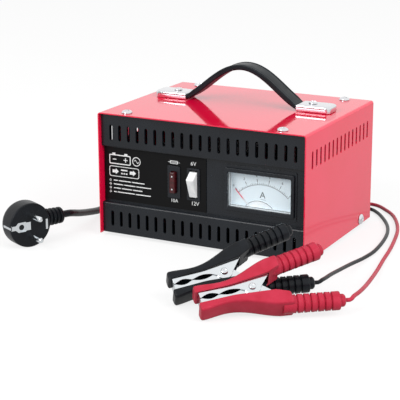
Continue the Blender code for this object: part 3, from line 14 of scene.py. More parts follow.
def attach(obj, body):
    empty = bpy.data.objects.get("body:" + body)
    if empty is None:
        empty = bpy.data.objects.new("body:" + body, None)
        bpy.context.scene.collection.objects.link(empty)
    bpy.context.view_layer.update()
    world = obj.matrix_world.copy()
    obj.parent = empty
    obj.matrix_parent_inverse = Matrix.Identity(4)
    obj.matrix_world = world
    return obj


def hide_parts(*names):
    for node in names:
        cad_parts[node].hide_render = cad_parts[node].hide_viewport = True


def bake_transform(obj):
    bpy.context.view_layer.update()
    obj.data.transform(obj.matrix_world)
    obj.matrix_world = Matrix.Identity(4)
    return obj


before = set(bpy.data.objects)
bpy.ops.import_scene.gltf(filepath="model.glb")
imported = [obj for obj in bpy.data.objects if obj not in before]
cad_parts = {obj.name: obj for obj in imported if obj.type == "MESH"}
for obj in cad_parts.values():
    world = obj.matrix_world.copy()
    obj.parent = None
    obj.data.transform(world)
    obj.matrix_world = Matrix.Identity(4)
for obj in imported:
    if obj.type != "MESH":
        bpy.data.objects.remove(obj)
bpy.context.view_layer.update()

GAP = 0.0003            # between pieces that touch
MM = 0.001
QUARTER = math.pi / 2
TURN = 2 * math.pi
METER_X, PIVOT_Z = 0.0545, 0.0295       # the meter's middle and its needle's pivot


# ---------------------------------------------------------------- camera, floor and light

CAMERA_PLACE = (0.5276, -1.0841, 0.3743)
CAMERA_TARGET = (-0.0387, 0.0, 0.0215)
CAMERA_ROLL_DEG = -0.21
LENS_MM = 123.39
ROOM_LIGHT = 0.72
DARK_SIDE = (-0.38, -0.90, -0.20)       # low behind the camera
FLOOR_REACH = 8.0
FLOOR_OWN_WHITE = 0.76                  # share of the floor that is its own white for the camera
FLOOR_MIRRORED_WHITE = 0.50             # the same in reflections


def new_object(name, data):
    """An object at the origin, in the scene."""
    obj = bpy.data.objects.new(name, data)
    bpy.context.scene.collection.objects.link(obj)
    return obj


def looking(place, target):
    """A pose at a place that looks at a target."""
    aim = (Vector(target) - Vector(place)).to_track_quat("-Z", "Y").to_matrix().to_4x4()
    return Matrix.Translation(place) @ aim


def set_camera():
    """The photograph's camera: looked from, looked at, then rolled about its own axis."""
    data = bpy.data.cameras.new("camera")
    data.sensor_width = 36.0
    data.lens = LENS_MM
    data.clip_end = 50.0
    camera = new_object("camera", data)
    roll = Matrix.Rotation(math.radians(CAMERA_ROLL_DEG), 4, "Z")
    camera.matrix_world = looking(CAMERA_PLACE, CAMERA_TARGET) @ roll
    bpy.context.scene.camera = camera


def linear(colour):
    """An sRGB hex colour as linear red, green, blue and alpha."""
    value = np.array([int(colour[k:k + 2], 16) for k in (1, 3, 5)]) / 255
    value = np.where(value <= 0.04045, value / 12.92, ((value + 0.055) / 1.055) ** 2.4)
    return (*value.tolist(), 1.0)


def add_node(tree, kind, inputs=None, **settings):
    """Adds a node, sets its own settings, and fills its sockets with values or with other sockets."""
    node = tree.nodes.new(kind)
    for name, value in settings.items():
        setattr(node, name, value)
    for key, value in (inputs or {}).items():
        if isinstance(value, bpy.types.NodeSocket):
            tree.links.new(value, node.inputs[key])
        else:
            node.inputs[key].default_value = value
    return node


def set_world():
    """A white room. Glossy rays see it darker low behind the camera, so metal has contrast."""
    world = bpy.data.worlds.new("studio")
    bpy.context.scene.world = world
    world.use_nodes = True
    tree = world.node_tree
    tree.nodes.clear()
    path = add_node(tree, "ShaderNodeLightPath").outputs
    seen = add_node(tree, "ShaderNodeMath", {0: path["Is Camera Ray"], 1: path["Is Transmission Ray"]},
                    operation="MAXIMUM")
    towards = add_node(tree, "ShaderNodeTexCoord")
    facing = add_node(tree, "ShaderNodeVectorMath", {0: towards.outputs["Generated"], 1: DARK_SIDE},
                      operation="DOT_PRODUCT")
    dark = add_node(tree, "ShaderNodeMapRange",
                    {"Value": facing.outputs["Value"], "From Min": 0.55, "From Max": 0.92, "To Min": 1.0,
                     "To Max": 0.06}, interpolation_type="SMOOTHSTEP")
    level = add_node(tree, "ShaderNodeMix", {0: path["Is Glossy Ray"], 2: ROOM_LIGHT,
                                             3: dark.outputs["Result"]}, data_type="FLOAT")
    final = add_node(tree, "ShaderNodeMix", {0: seen.outputs[0], 2: level.outputs[0], 3: 1.0},
                     data_type="FLOAT")
    light = add_node(tree, "ShaderNodeBackground",
                     {"Color": linear("#ffffff"), "Strength": final.outputs[0]})
    add_node(tree, "ShaderNodeOutputWorld", {"Surface": light.outputs[0]})


def add_lamp(name, place, size, power, mirrored):
    """A large soft square lamp that shines on the case, seen or not seen in reflections."""
    data = bpy.data.lights.new(name, "AREA")
    data.size = size
    data.energy = power
    lamp = new_object(name, data)
    lamp.matrix_world = looking(place, (0, 0, 0.05))
    lamp.visible_glossy = mirrored


def set_floor():
    """A white floor: part of it is its own white for the camera, the rest keeps the shadow. It sends little
    light back up, so undersides stay dark."""
    mesh = bpy.data.meshes.new("floor")
    mesh.from_pydata([(x * FLOOR_REACH, y * FLOOR_REACH, 0)
                      for x, y in ((-1, -1), (1, -1), (1, 1), (-1, 1))], [], [(0, 1, 2, 3)])
    floor = new_object("floor", mesh)
    material = bpy.data.materials.new("white_floor")
    material.use_nodes = True
    tree = material.node_tree
    tree.nodes.clear()
    path = add_node(tree, "ShaderNodeLightPath").outputs
    seen = path["Is Camera Ray"]
    glossy = add_node(tree, "ShaderNodeMath", {0: path["Is Glossy Ray"], 1: FLOOR_MIRRORED_WHITE},
                      operation="MULTIPLY")
    share = add_node(tree, "ShaderNodeMath", {0: seen, 1: FLOOR_OWN_WHITE, 2: glossy.outputs[0]},
                     operation="MULTIPLY_ADD")
    colour = add_node(tree, "ShaderNodeMix", {0: seen, 6: linear("#a4a4a4"), 7: linear("#fcfcfc")},
                      data_type="RGBA")
    matt = add_node(tree, "ShaderNodeBsdfDiffuse", {"Color": colour.outputs[2]})
    white = add_node(tree, "ShaderNodeEmission", {"Color": linear("#ffffff"), "Strength": 1.0})
    both = add_node(tree, "ShaderNodeMixShader",
                    {0: share.outputs[0], 1: matt.outputs[0], 2: white.outputs[0]})
    add_node(tree, "ShaderNodeOutputMaterial", {"Surface": both.outputs[0]})
    mesh.materials.append(material)


bpy.context.scene.view_settings.view_transform = "Standard"
set_camera()
set_world()
add_lamp("key", (-0.7, -2.0, 1.25), 1.3, 29.0, True)
add_lamp("fill", (1.6, -0.6, 1.1), 1.2, 25.0, False)
set_floor()


# ---------------------------------------------------------------- finishes

def paint(name, colour, roughness, metallic=0.0, **sockets):
    """A material with its shader's own sockets set; returns it, its tree, its shader and the place on the
    object."""
    material = bpy.data.materials.new(name)
    material.use_nodes = True
    tree = material.node_tree
    shader = tree.nodes["Principled BSDF"]
    sockets.update({"Base Color": linear(colour), "Roughness": roughness, "Metallic": metallic})
    for key, value in sockets.items():
        shader.inputs[key.replace("_", " ")].default_value = value
    place = add_node(tree, "ShaderNodeTexCoord").outputs["Object"]
    return material, tree, shader, place


def speckle(tree, place, size_mm, detail=2.0, stretch=(1, 1, 1)):
    """Soft random relief with grains of a real size, stretched along an axis where the finish is drawn."""
    drawn = add_node(tree, "ShaderNodeMapping", {"Vector": place, "Scale": stretch})
    return add_node(tree, "ShaderNodeTexNoise", {"Vector": drawn.outputs[0], "Scale": 1 / (size_mm * MM),
                                                 "Detail": detail}).outputs["Fac"]


def relief(tree, shader, height, depth_mm):
    """Turns a pattern into bumps of a real depth."""
    bump = add_node(tree, "ShaderNodeBump", {"Height": height, "Strength": 1.0, "Distance": depth_mm * MM})
    tree.links.new(bump.outputs[0], shader.inputs["Normal"])


def tint(tree, shader, pattern, dark, light, start=0.35, end=0.65):
    """Runs the base colour between two hex colours with a pattern."""
    share = add_node(tree, "ShaderNodeMapRange", {"Value": pattern, "From Min": start, "From Max": end})
    mix = add_node(tree, "ShaderNodeMix", {0: share.outputs[0], 6: linear(dark), 7: linear(light)},
                   data_type="RGBA")
    tree.links.new(mix.outputs[2], shader.inputs["Base Color"])


def finish(name, colour, roughness, metallic=0.0, bumps=None, gloss=None, shades=None, **sockets):
    """A material with random patterns: bumps is a depth in mm, gloss a low and a high roughness, and shades
    two hex colours, each followed by its own pattern's grain in mm, detail and stretch."""
    material, tree, shader, place = paint(name, colour, roughness, metallic, **sockets)
    if bumps:
        depth_mm, *grain = bumps
        relief(tree, shader, speckle(tree, place, *grain), depth_mm)
    if gloss:
        low, high, *grain = gloss
        span = add_node(tree, "ShaderNodeMapRange", {"Value": speckle(tree, place, *grain), "From Min": 0.3,
                                                     "From Max": 0.7, "To Min": low, "To Max": high})
        tree.links.new(span.outputs[0], shader.inputs["Roughness"])
    if shades:
        dark, light, *grain = shades
        tint(tree, shader, speckle(tree, place, *grain), dark, light)
    return material


def banded(name, colour, roughness, metallic, axis, width_mm, dark, light, depth_mm):
    """A material of even bands of a real width, stacked along an axis."""
    material, tree, shader, place = paint(name, colour, roughness, metallic)
    bands = add_node(tree, "ShaderNodeTexWave", {"Vector": place, "Scale": 1 / (width_mm * MM) / TURN},
                     bands_direction=axis).outputs["Fac"]
    tint(tree, shader, bands, dark, light, 0.0, 1.0)
    relief(tree, shader, bands, depth_mm)
    return material


def make_needle_paint(tip="#ee4a66", shank="#dfe3e6"):
    """A thin pointer painted signal red at its tip and left pale along its shank."""
    material, tree, shader, place = paint("signal_red_needle", "#e5455c", 0.5)
    reach = add_node(tree, "ShaderNodeVectorMath", {0: place, 1: (METER_X, -0.0640, PIVOT_Z)},
                     operation="DISTANCE")
    tint(tree, shader, reach.outputs["Value"], shank, tip, 0.0250, 0.0285)
    return material


def soft_pvc(name, dark, light, roughness):
    """Soft PVC: waxy sheen, coloured through, slightly rippled where it was dipped."""
    return finish(name, light, roughness, bumps=(0.03, 1.1, 3.0),
                  gloss=(roughness - 0.06, roughness + 0.08, 1.1, 3.0), shades=(dark, light, 12.0),
                  IOR=1.5, Specular_IOR_Level=0.24)


# Baked enamel on steel: a deep even red under a hard gloss, with a faint orange-peel ripple
enamel = finish("red_baked_enamel", "#e80a3c", 0.07, bumps=(0.004, 3.2, 1.0), gloss=(0.05, 0.10, 22.0),
                shades=("#e60938", "#ea0b40", 60.0), IOR=1.66, Coat_Weight=0.3,
                Specular_Tint=linear("#f4f0ff"))
# Injection-moulded ABS with a spark-eroded texture: a dull blue-black, its 0.3 mm grain drawn at 0.8 mm
moulded_black = finish("black_moulded_abs", "#15191e", 0.28, bumps=(0.035, 0.8, 3.0),
                       gloss=(0.22, 0.36, 0.8, 3.0), shades=("#0f1319", "#141920", 35.0), IOR=1.5,
                       Specular_IOR_Level=0.42)
# Moulded rubber with a slate bloom: broad soft sheen, fine pitting drawn at 0.6 mm
strap_rubber = finish("slate_moulded_rubber", "#1a2126", 0.36, bumps=(0.02, 0.6), gloss=(0.30, 0.44, 9.0),
                      shades=("#0f1519", "#151b20", 14.0), IOR=1.52, Specular_IOR_Level=0.18)
# Matt black rubber of feet, strain relief and grommet, slightly dusty in its pores
black_rubber = finish("black_rubber", "#141618", 0.55, bumps=(0.03, 0.7, 3.0),
                      shades=("#111315", "#1b1e20", 0.7, 3.0), IOR=1.5, Specular_IOR_Level=0.3)
# Screen-printed film: flat soot black with a satin face and a very fine even tooth
label_film = finish("black_printed_film", "#0c0c0d", 0.36, bumps=(0.006, 0.5, 1.0), gloss=(0.34, 0.44, 6.0),
                    IOR=1.48, Specular_IOR_Level=0.16)
# White screen ink, a little uneven in cover
white_ink = finish("white_screen_ink", "#e9eaea", 0.5, shades=("#d4d6d6", "#f2f3f3", 1.2))
# Thin printing ink on card, with the card's fibre showing through
dial_ink = finish("grey_dial_ink", "#2c363e", 0.6, gloss=(0.5, 0.7, 0.9))
# Bright chrome plate: a near mirror with faint wiping marks
chrome = finish("bright_chrome_plate", "#e4e5e8", 0.08, 1.0, bumps=(0.006, 4.0),
                gloss=(0.05, 0.14, 1.6, 3.0, (1, 5, 1)))
# Nickel-plated pressed steel: bright and slightly warm, softly rippled by the press
nickel = finish("nickel_plated_steel", "#e6ebee", 0.14, 1.0, bumps=(0.03, 5.0, 1.0),
                gloss=(0.08, 0.20, 2.0, 3.0, (3, 1, 1)))
# The jaws' inner faces, painted dark and half matt as the shade inside the closed jaws
painted_shade_steel = finish("jaw_inner_painted_shade", "#2b343b", 0.42, 0.7, shades=("#1c242b", "#3a454e", 3.0, 3.0))
# Zinc-plated sheet and wire: grey, cloudy and half matt
zinc = finish("zinc_plated_steel", "#aeb0b3", 0.38, 1.0, gloss=(0.30, 0.48, 5.0, 4.0),
              shades=("#9a9da0", "#bfc1c4", 5.0, 4.0))
# Varnished transformer sheets: thin dark edges stacked front to back, 0.5 mm sheets drawn at 0.7 mm
laminations = banded("varnished_laminations", "#585a60", 0.5, 0.7, "Y", 0.7, "#3a3c41", "#6c6e74", 0.08)
# Enamelled copper wire wound in tight rows: amber lacquer over copper, 0.8 mm wire
winding_wire = banded("enamelled_copper_wire", "#b4683c", 0.28, 0.85, "Z", 0.8, "#7c3c1c", "#c67a48", 0.15)
# Extruded aluminium: pale grey, drawn into fine upright die lines
aluminium = finish("extruded_aluminium", "#c9cacc", 0.36, 1.0, bumps=(0.01, 0.8, 2.0, (1, 1, 0.04)),
                   gloss=(0.28, 0.46, 0.8, 2.0, (1, 1, 0.04)))
# Glossy white nylon with a trace of grey at its moulding marks
rocker_plastic = finish("white_moulded_nylon", "#eeeff0", 0.26, bumps=(0.006, 1.4, 1.0),
                        shades=("#e6e8ea", "#f4f5f5", 4.0), IOR=1.52)
# Translucent red fuse body: dark and clear, lit a little from inside
fuse_plastic = finish("translucent_red_fuse", "#4c0a10", 0.16, bumps=(0.01, 1.6),
                      shades=("#42080d", "#5a0e14", 2.5), IOR=1.55, Transmission_Weight=0.35)
# Pale blue-white printed dial card with a soft matt tooth
dial_card = finish("dial_card", "#e8f5fc", 0.62, bumps=(0.01, 0.6, 3.0),
                   shades=("#e2f1fa", "#edf8fd", 0.6, 3.0))
# The pale inside of the meter's box, bluish in its own shade
meter_wall = finish("pale_meter_wall", "#eef7fc", 0.4, shades=("#e8f3f9", "#f6fbfe", 5.0))
# Clear polystyrene pane: hardly there but for its gloss and a trace of blue
window_plastic = finish("clear_polystyrene", "#eef8fd", 0.04, gloss=(0.03, 0.07, 8.0), IOR=1.55, Alpha=0.05)
needle_paint = make_needle_paint()
black_pvc = soft_pvc("black_soft_pvc", "#0a0d11", "#11151a", 0.32)
red_pvc = soft_pvc("red_soft_pvc", "#aa2238", "#b42b42", 0.36)
cord_pvc = soft_pvc("black_cord_pvc", "#0b0e12", "#12161a", 0.28)


# ---------------------------------------------------------------- shapes

def tidied(mesh, merge, join_flat=False):
    """Merges a mesh's doubles, joins its flat faces if asked, and turns its faces outwards."""
    shape = bmesh.new()
    shape.from_mesh(mesh)
    bmesh.ops.remove_doubles(shape, verts=shape.verts, dist=merge)
    if join_flat:
        bmesh.ops.dissolve_limit(shape, angle_limit=math.radians(0.6), verts=shape.verts, edges=shape.edges)
    bmesh.ops.recalc_face_normals(shape, faces=shape.faces)
    shape.to_mesh(mesh)
    shape.free()
    return mesh


def make_mesh(parts):
    """One mesh of several (points, faces) parts, doubles merged and faces pointing outwards."""
    points, faces, start = [], [], 0
    for places, quads in parts:
        places = np.asarray(places).reshape(-1, 3)
        points.append(places)
        faces += [[start + corner for corner in face] for face in quads]
        start += len(places)
    mesh = bpy.data.meshes.new("made")
    mesh.from_pydata(np.vstack(points).tolist(), [], faces)
    return tidied(mesh, 0.000003)


def rings(points, capped=False):
    """Points and quads of a surface made of closed rings; capped closes it with its first and last ring."""
    rows, columns = points.shape[:2]
    i, j = np.meshgrid(np.arange(rows - 1), np.arange(columns), indexing="ij")
    k = (j + 1) % columns
    corners = [i * columns + j, i * columns + k, (i + 1) * columns + k, (i + 1) * columns + j]
    faces = np.stack(corners, -1).reshape(-1, 4).tolist()
    if capped:
        faces += [list(range(columns)), list(range((rows - 1) * columns, rows * columns))]
    return points, faces


def moved(points, matrix):
    """Points carried from a piece's own frame to the object's."""
    m = np.array(matrix)
    return np.asarray(points) @ m[:3, :3].T + m[:3, 3]


def at(x, y, z, quarters=0, axis="X"):
    """A place, turned by quarter turns about an axis."""
    return Matrix.Translation((x, y, z)) @ Matrix.Rotation(quarters * QUARTER, 4, axis)


def show(name, mesh, material, body="charger", replaced=(), smooth=30):
    """A finished piece that rides on a body and stands for CAD nodes, smooth up to an angle."""
    obj = new_object(name, mesh)
    mesh.materials.clear()
    mesh.materials.append(material)
    mesh.shade_smooth()
    mesh.set_sharp_from_angle(angle=math.radians(smooth))
    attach(obj, body)
    if replaced:
        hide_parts(*replaced)
    return obj


def stand_in(node, mesh, material, body="charger", smooth=40):
    """The finished piece that stands for one CAD node."""
    return show(node + "_finished", mesh, material, body, (node,), smooth)


def repaint(material, *nodes):
    """Gives CAD nodes that keep their shape a finished material."""
    for node in nodes:
        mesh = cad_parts[node].data
        mesh.materials.clear()
        mesh.materials.append(material)


def softened(node, material, edge, segments=2, body="charger", smooth=35, angle=30):
    """A copy of a CAD solid, merged to clean faces, whose corners are rounded by a real edge radius."""
    mesh = tidied(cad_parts[node].data.copy(), 0.000002, True)
    obj = stand_in(node, mesh, material, body, smooth)
    if edge:
        bevel = obj.modifiers.new("edge", "BEVEL")
        bevel.width = edge
        bevel.segments = segments
        bevel.limit_method = "ANGLE"
        bevel.angle_limit = math.radians(angle)
        bevel.use_clamp_overlap = True
    obj.modifiers.new("flat_faces", "WEIGHTED_NORMAL").keep_sharp = True
    return obj


def eased(points, radii, steps=4, closed=False):
    """Rounds a line's corners: each becomes a parabola between two points a radius away on its two sides.

    Works on the last-but-one axis, so a whole stack of outlines is rounded at once.
    """
    points = np.asarray(points, float)
    radii = np.broadcast_to(radii, points.shape[-2])[..., None]

    def towards(other):
        run = np.linalg.norm(other - points, axis=-1, keepdims=True)
        return points + (other - points) * np.minimum(radii / np.maximum(run, 1e-9), 0.48)
    first, last = towards(np.roll(points, 1, axis=-2)), towards(np.roll(points, -1, axis=-2))
    if not closed:
        for end in (0, -1):
            first[..., end, :] = last[..., end, :] = points[..., end, :]
    t = np.linspace(0, 1, steps + 1)[:, None]
    curve = ((1 - t)**2 * first[..., None, :] + 2 * t * (1 - t) * points[..., None, :]
             + t**2 * last[..., None, :])
    return curve.reshape(*points.shape[:-2], -1, points.shape[-1])


def rounded_loops(corners, radii, steps):
    """A stack of closed outlines from corners whose coordinates are arrays, each corner rounded."""
    outlines = np.stack([np.stack(np.broadcast_arrays(*corner), -1) for corner in corners], 1)
    return eased(outlines, radii, steps, closed=True)


def turned(profile, steps=48):
    """Rings of a turned piece about Z: a line of (radius, height) points carried round the axis."""
    profile = np.asarray(profile)
    angle = np.linspace(0, TURN, steps, endpoint=False)
    radius, height = profile[:, 0:1], profile[:, 1:2]
    return np.stack([radius * np.cos(angle), radius * np.sin(angle), np.repeat(height, steps, 1)], -1)


def turned_mesh(profile, steps, place):
    """A turned piece at its place."""
    return make_mesh([rings(moved(turned(profile, steps), place))])


def smooth_route(points, step, floor=-1.0):
    """A smooth curve through points, read at even steps, with its two end runs straight.

    Between two points it is the cubic whose end slopes follow each point's two neighbours.
    """
    places = np.array(points)
    runs = np.linalg.norm(np.diff(places, axis=0), axis=1)
    knots = np.concatenate([[0.0], np.cumsum(np.sqrt(runs))])
    slopes = np.gradient(places, knots, axis=0)
    slopes[1] = (places[1] - places[0]) / runs[0] * np.linalg.norm(slopes[1])
    slopes[-2] = (places[-1] - places[-2]) / runs[-1] * np.linalg.norm(slopes[-2])
    span = np.diff(knots)[1:-1, None, None]
    t = np.linspace(0, 1, 24, endpoint=False)[None, :, None]
    a, b = places[1:-2, None], places[2:-1, None]
    fine = ((2 * t**3 - 3 * t**2 + 1) * a + (t**3 - 2 * t**2 + t) * span * slopes[1:-2, None]
            + (3 * t**2 - 2 * t**3) * b + (t**3 - t**2) * span * slopes[2:-1, None])
    fine = np.vstack([fine.reshape(-1, 3), places[-2:-1]])
    fine[:, 2] = np.maximum(fine[:, 2], floor)
    length = np.concatenate([[0.0], np.cumsum(np.linalg.norm(np.diff(fine, axis=0), axis=1))])
    even = np.linspace(0, length[-1], max(2, round(length[-1] / step)) + 1)
    middle = np.column_stack([np.interp(even, length, fine[:, k]) for k in range(3)])
    return np.vstack([places[:1], middle, places[-1:]])


def tube(points, radius, sides):
    """Rings of a round tube along a path. Each ring's frame is the last one's, leant to the new direction."""
    along = np.gradient(points, axis=0)
    along /= np.linalg.norm(along, axis=1)[:, None]
    side = np.empty_like(along)
    side[0] = np.cross(along[0], (0.31, 0.17, 0.93))
    for k in range(1, len(points)):
        side[k] = side[k - 1] / np.linalg.norm(side[k - 1])
        side[k] -= along[k] * (side[k] @ along[k])
    side /= np.linalg.norm(side, axis=1)[:, None]
    over = np.cross(along, side)
    angle = np.linspace(0, TURN, sides, endpoint=False)
    return (points[:, None] + radius * (np.cos(angle)[None, :, None] * side[:, None]
                                        + np.sin(angle)[None, :, None] * over[:, None]))


# ---------------------------------------------------------------- cords

BAND_Y = 0.0735         # rear face of the panels
CORD_D = 0.0065
LEAD_D = 0.0033
RELIEF_X = -0.055
RELIEF_Z = 0.020
RELIEF_L = 0.034
RELIEF_END = 0.1081
COIL_Y = 0.150
COIL_OUTER_R = 0.045
COIL_X = RELIEF_X + COIL_OUTER_R
COIL_TURNS = 4.75
COIL_PITCH = 0.0076
COIL_LAYER = 0.0072
COIL_LEAD = 0.008       # straight run at each end of the coil
COIL_LOW_Z = CORD_D / 2 + 0.0001
PLUG_CENTRE = (-0.1362, -0.1339, 0.02005)
PLUG_TURN = math.radians(-26.7)
PLUG_BOOT_BACK = 0.0131
PLUG_BOOT_END = 0.0381
OUTPUT_Z = 0.015
FLOOR_Z = LEAD_D / 2 + 0.0001
ROUTE_STEP = 0.0025


def coil_points():
    """Two layers of turns: a flat spiral inwards on the floor, a step up, and a spiral outwards on top."""
    sweep = TURN * COIL_TURNS
    turn = np.linspace(-sweep / 2, sweep / 2, round(36 * COIL_TURNS) + 1)
    reach = np.sqrt(turn**2 + 0.9**2)
    radius = COIL_OUTER_R - COIL_PITCH / TURN * (reach[0] - reach)
    climb = np.clip(turn / math.pi + 0.5, 0, 1)
    height = COIL_LOW_Z + COIL_LAYER * climb**2 * (3 - 2 * climb)
    angle = turn + sweep / 2 - QUARTER
    loops = np.column_stack([COIL_X + radius * np.cos(angle), COIL_Y + radius * np.sin(angle), height])
    return np.vstack([loops[:1] - (COIL_LEAD, 0, 0), loops, loops[-1:] - (0, COIL_LEAD, 0)])


def mains_route():
    """From the plug's boot down to the floor, along the case's side and round to the coil."""
    out = np.array([-math.sin(PLUG_TURN), math.cos(PLUG_TURN), 0])
    pins = np.array([math.cos(PLUG_TURN), math.sin(PLUG_TURN), 0])
    tail = np.array(PLUG_CENTRE) - pins * PLUG_BOOT_BACK + out * (PLUG_BOOT_END + GAP)
    coil = coil_points()[0]
    return [tail, tail + out * CORD_D,
            (-0.1274, -0.0790, 0.0181), (-0.1288, -0.0675, 0.0148), (-0.1318, -0.0470, 0.0098),
            (-0.1340, -0.0260, 0.0056), (-0.1362, -0.0080, 0.0036), (-0.1380, 0.0150, COIL_LOW_Z),
            (-0.1385, 0.0450, COIL_LOW_Z), (-0.1345, 0.0740, COIL_LOW_Z), (-0.1180, 0.0960, COIL_LOW_Z),
            (-0.0930, 0.1065, COIL_LOW_Z), (-0.0600, 0.1080, COIL_LOW_Z), (-0.0350, 0.1062, COIL_LOW_Z),
            (coil[0] - GAP - CORD_D, coil[1], coil[2]), (coil[0] - GAP, coil[1], coil[2])]


def relief_route():
    """From the strain relief down onto the top of the coil."""
    end = coil_points()[-1]
    share = np.array([0.3, 0.5, 0.7])
    fall = (RELIEF_Z - end[2]) * share**2 * (3 - 2 * share)
    middle = np.column_stack([np.full(3, RELIEF_X), RELIEF_END + share * (end[1] - GAP - RELIEF_END),
                              RELIEF_Z - fall])
    return np.vstack([(RELIEF_X, RELIEF_END, RELIEF_Z), (RELIEF_X, RELIEF_END + CORD_D, RELIEF_Z), middle,
                      (RELIEF_X, end[1] - GAP - CORD_D, end[2]), (RELIEF_X, end[1] - GAP, end[2])])


def cord_curve(name, points, diameter, material):
    """A cord as a round bead along one open line."""
    curve = bpy.data.curves.new(name, "CURVE")
    curve.dimensions = "3D"
    curve.bevel_depth = diameter / 2
    curve.bevel_resolution = 5
    curve.use_fill_caps = True
    spline = curve.splines.new("POLY")
    spline.points.add(len(points) - 1)
    spline.points.foreach_set("co", np.column_stack([points, np.ones(len(points))]).ravel())
    spline.use_smooth = True
    curve.materials.append(material)
    obj = new_object(name, curve)
    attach(obj, "charger")
    return obj


def clamp_frame(rivet, turn, tilt, pitch):
    """A clamp's own frame: turned on the floor, tilted on its side, then pitched. X runs from the rivet to
    the boots, Z opens the jaws and Y is the rivet's axis."""
    turn, tilt, pitch = map(math.radians, (turn, tilt, pitch))
    flat = Vector((math.cos(turn), math.sin(turn), 0))
    opening = Vector((-math.sin(turn), math.cos(turn), 0)) * math.cos(tilt) + Vector((0, 0, math.sin(tilt)))
    x_axis = flat * math.cos(pitch) + opening * math.sin(pitch)
    z_axis = opening * math.cos(pitch) - flat * math.sin(pitch)
    turned_axes = Matrix((x_axis, z_axis.cross(x_axis), z_axis)).transposed().to_4x4()
    return Matrix.Translation(rivet) @ turned_axes


CLAMPS = {"black": clamp_frame((0.0731, -0.1742, 0.0192), 33.4, 39.2, 13.9),
          "red": clamp_frame((0.1070, -0.1942, 0.0178), 31.9, 31.9, 13.0)}
BOOT_X, BOOT_Z, BOOT_L, BOOT_NOSE_L = 0.022, 0.0185, 0.0405, 0.0045
BOOT_SLOPE = math.radians(9.95)
EXIT_X = {"black": 0.080, "red": 0.070}
LEAD_MIDDLE = {
    "black": [(0.0805, 0.0945, 0.0105), (0.0835, 0.1035, 0.0045), (0.0905, 0.1060, FLOOR_Z),
              (0.0995, 0.0985, FLOOR_Z), (0.1110, 0.0830, FLOOR_Z), (0.1220, 0.0640, FLOOR_Z),
              (0.1300, 0.0430, FLOOR_Z), (0.1355, 0.0170, FLOOR_Z), (0.1385, -0.0130, FLOOR_Z),
              (0.1380, -0.0380, 0.0028), (0.1370, -0.0633, 0.0053), (0.1378, -0.0913, 0.0088),
              (0.1388, -0.1130, 0.0116), (0.1398, -0.1270, 0.0131), (0.1399, -0.1350, 0.0138)],
    "red": [(0.0700, 0.1000, 0.0090), (0.0725, 0.1130, 0.0038), (0.0795, 0.1220, FLOOR_Z),
            (0.0900, 0.1215, FLOOR_Z), (0.1045, 0.1095, FLOOR_Z), (0.1150, 0.0975, FLOOR_Z),
            (0.1255, 0.0790, FLOOR_Z), (0.1360, 0.0530, FLOOR_Z), (0.1440, 0.0215, FLOOR_Z),
            (0.1495, -0.0060, FLOOR_Z), (0.1536, -0.0317, 0.0018), (0.1590, -0.0595, 0.0028),
            (0.1648, -0.0894, 0.0052), (0.1705, -0.1201, 0.0086), (0.1738, -0.1420, 0.0114),
            (0.1744, -0.1540, 0.0124)]}


def lead_route(colour):
    """From the grommet down to the floor, round the case's side and up into the clamp's boot, where it
    runs on over the jaw's tongue."""
    x = EXIT_X[colour]
    along = np.array([math.cos(BOOT_SLOPE), 0, -math.sin(BOOT_SLOPE)])
    in_boot = [(BOOT_L + BOOT_NOSE_L + GAP + LEAD_D, 0), (BOOT_L + BOOT_NOSE_L + GAP, 0), (0.0400, 0.0012),
               (0.0345, 0.0026), (0.0200, 0.0026), (0.0050, 0.0026), (-0.0110, 0.0026), (-0.0160, 0.0026)]
    inside = [moved(np.array([BOOT_X, 0, lift - BOOT_Z]) + along * run, CLAMPS[colour])
              for run, lift in in_boot]
    route = [(x, BAND_Y + 0.0012, OUTPUT_Z), (x, 0.0831, OUTPUT_Z)] + LEAD_MIDDLE[colour] + inside
    return smooth_route(route, ROUTE_STEP, FLOOR_Z)


mains_line = np.vstack([[(RELIEF_X, BAND_Y + 0.0012, RELIEF_Z)], smooth_route(relief_route(), ROUTE_STEP),
                        coil_points()[::-1][1:-1],
                        smooth_route(mains_route(), ROUTE_STEP, COIL_LOW_Z)[::-1]])
mains_cord = cord_curve("mains_cord", mains_line, CORD_D, cord_pvc)
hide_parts("mains_cord_lead", "mains_cord_coil", "mains_cord_end")
leads = {}
for colour, pvc in (("black", cord_pvc), ("red", red_pvc)):
    leads[colour] = cord_curve(f"{colour}_output_lead", lead_route(colour), LEAD_D, pvc)
    leads[colour].visible_glossy = False
    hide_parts(f"{colour}_lead")


# ---------------------------------------------------------------- case

COVER_TOP = 0.114
CASE_SIDE = 0.1
SCREW_HEAD_R, SCREW_HEAD_H, SCREW_R, SCREW_L = 0.00475, 0.0026, 0.002, 0.007
STRAP_Y = 0.013
CAP_H = 0.0063


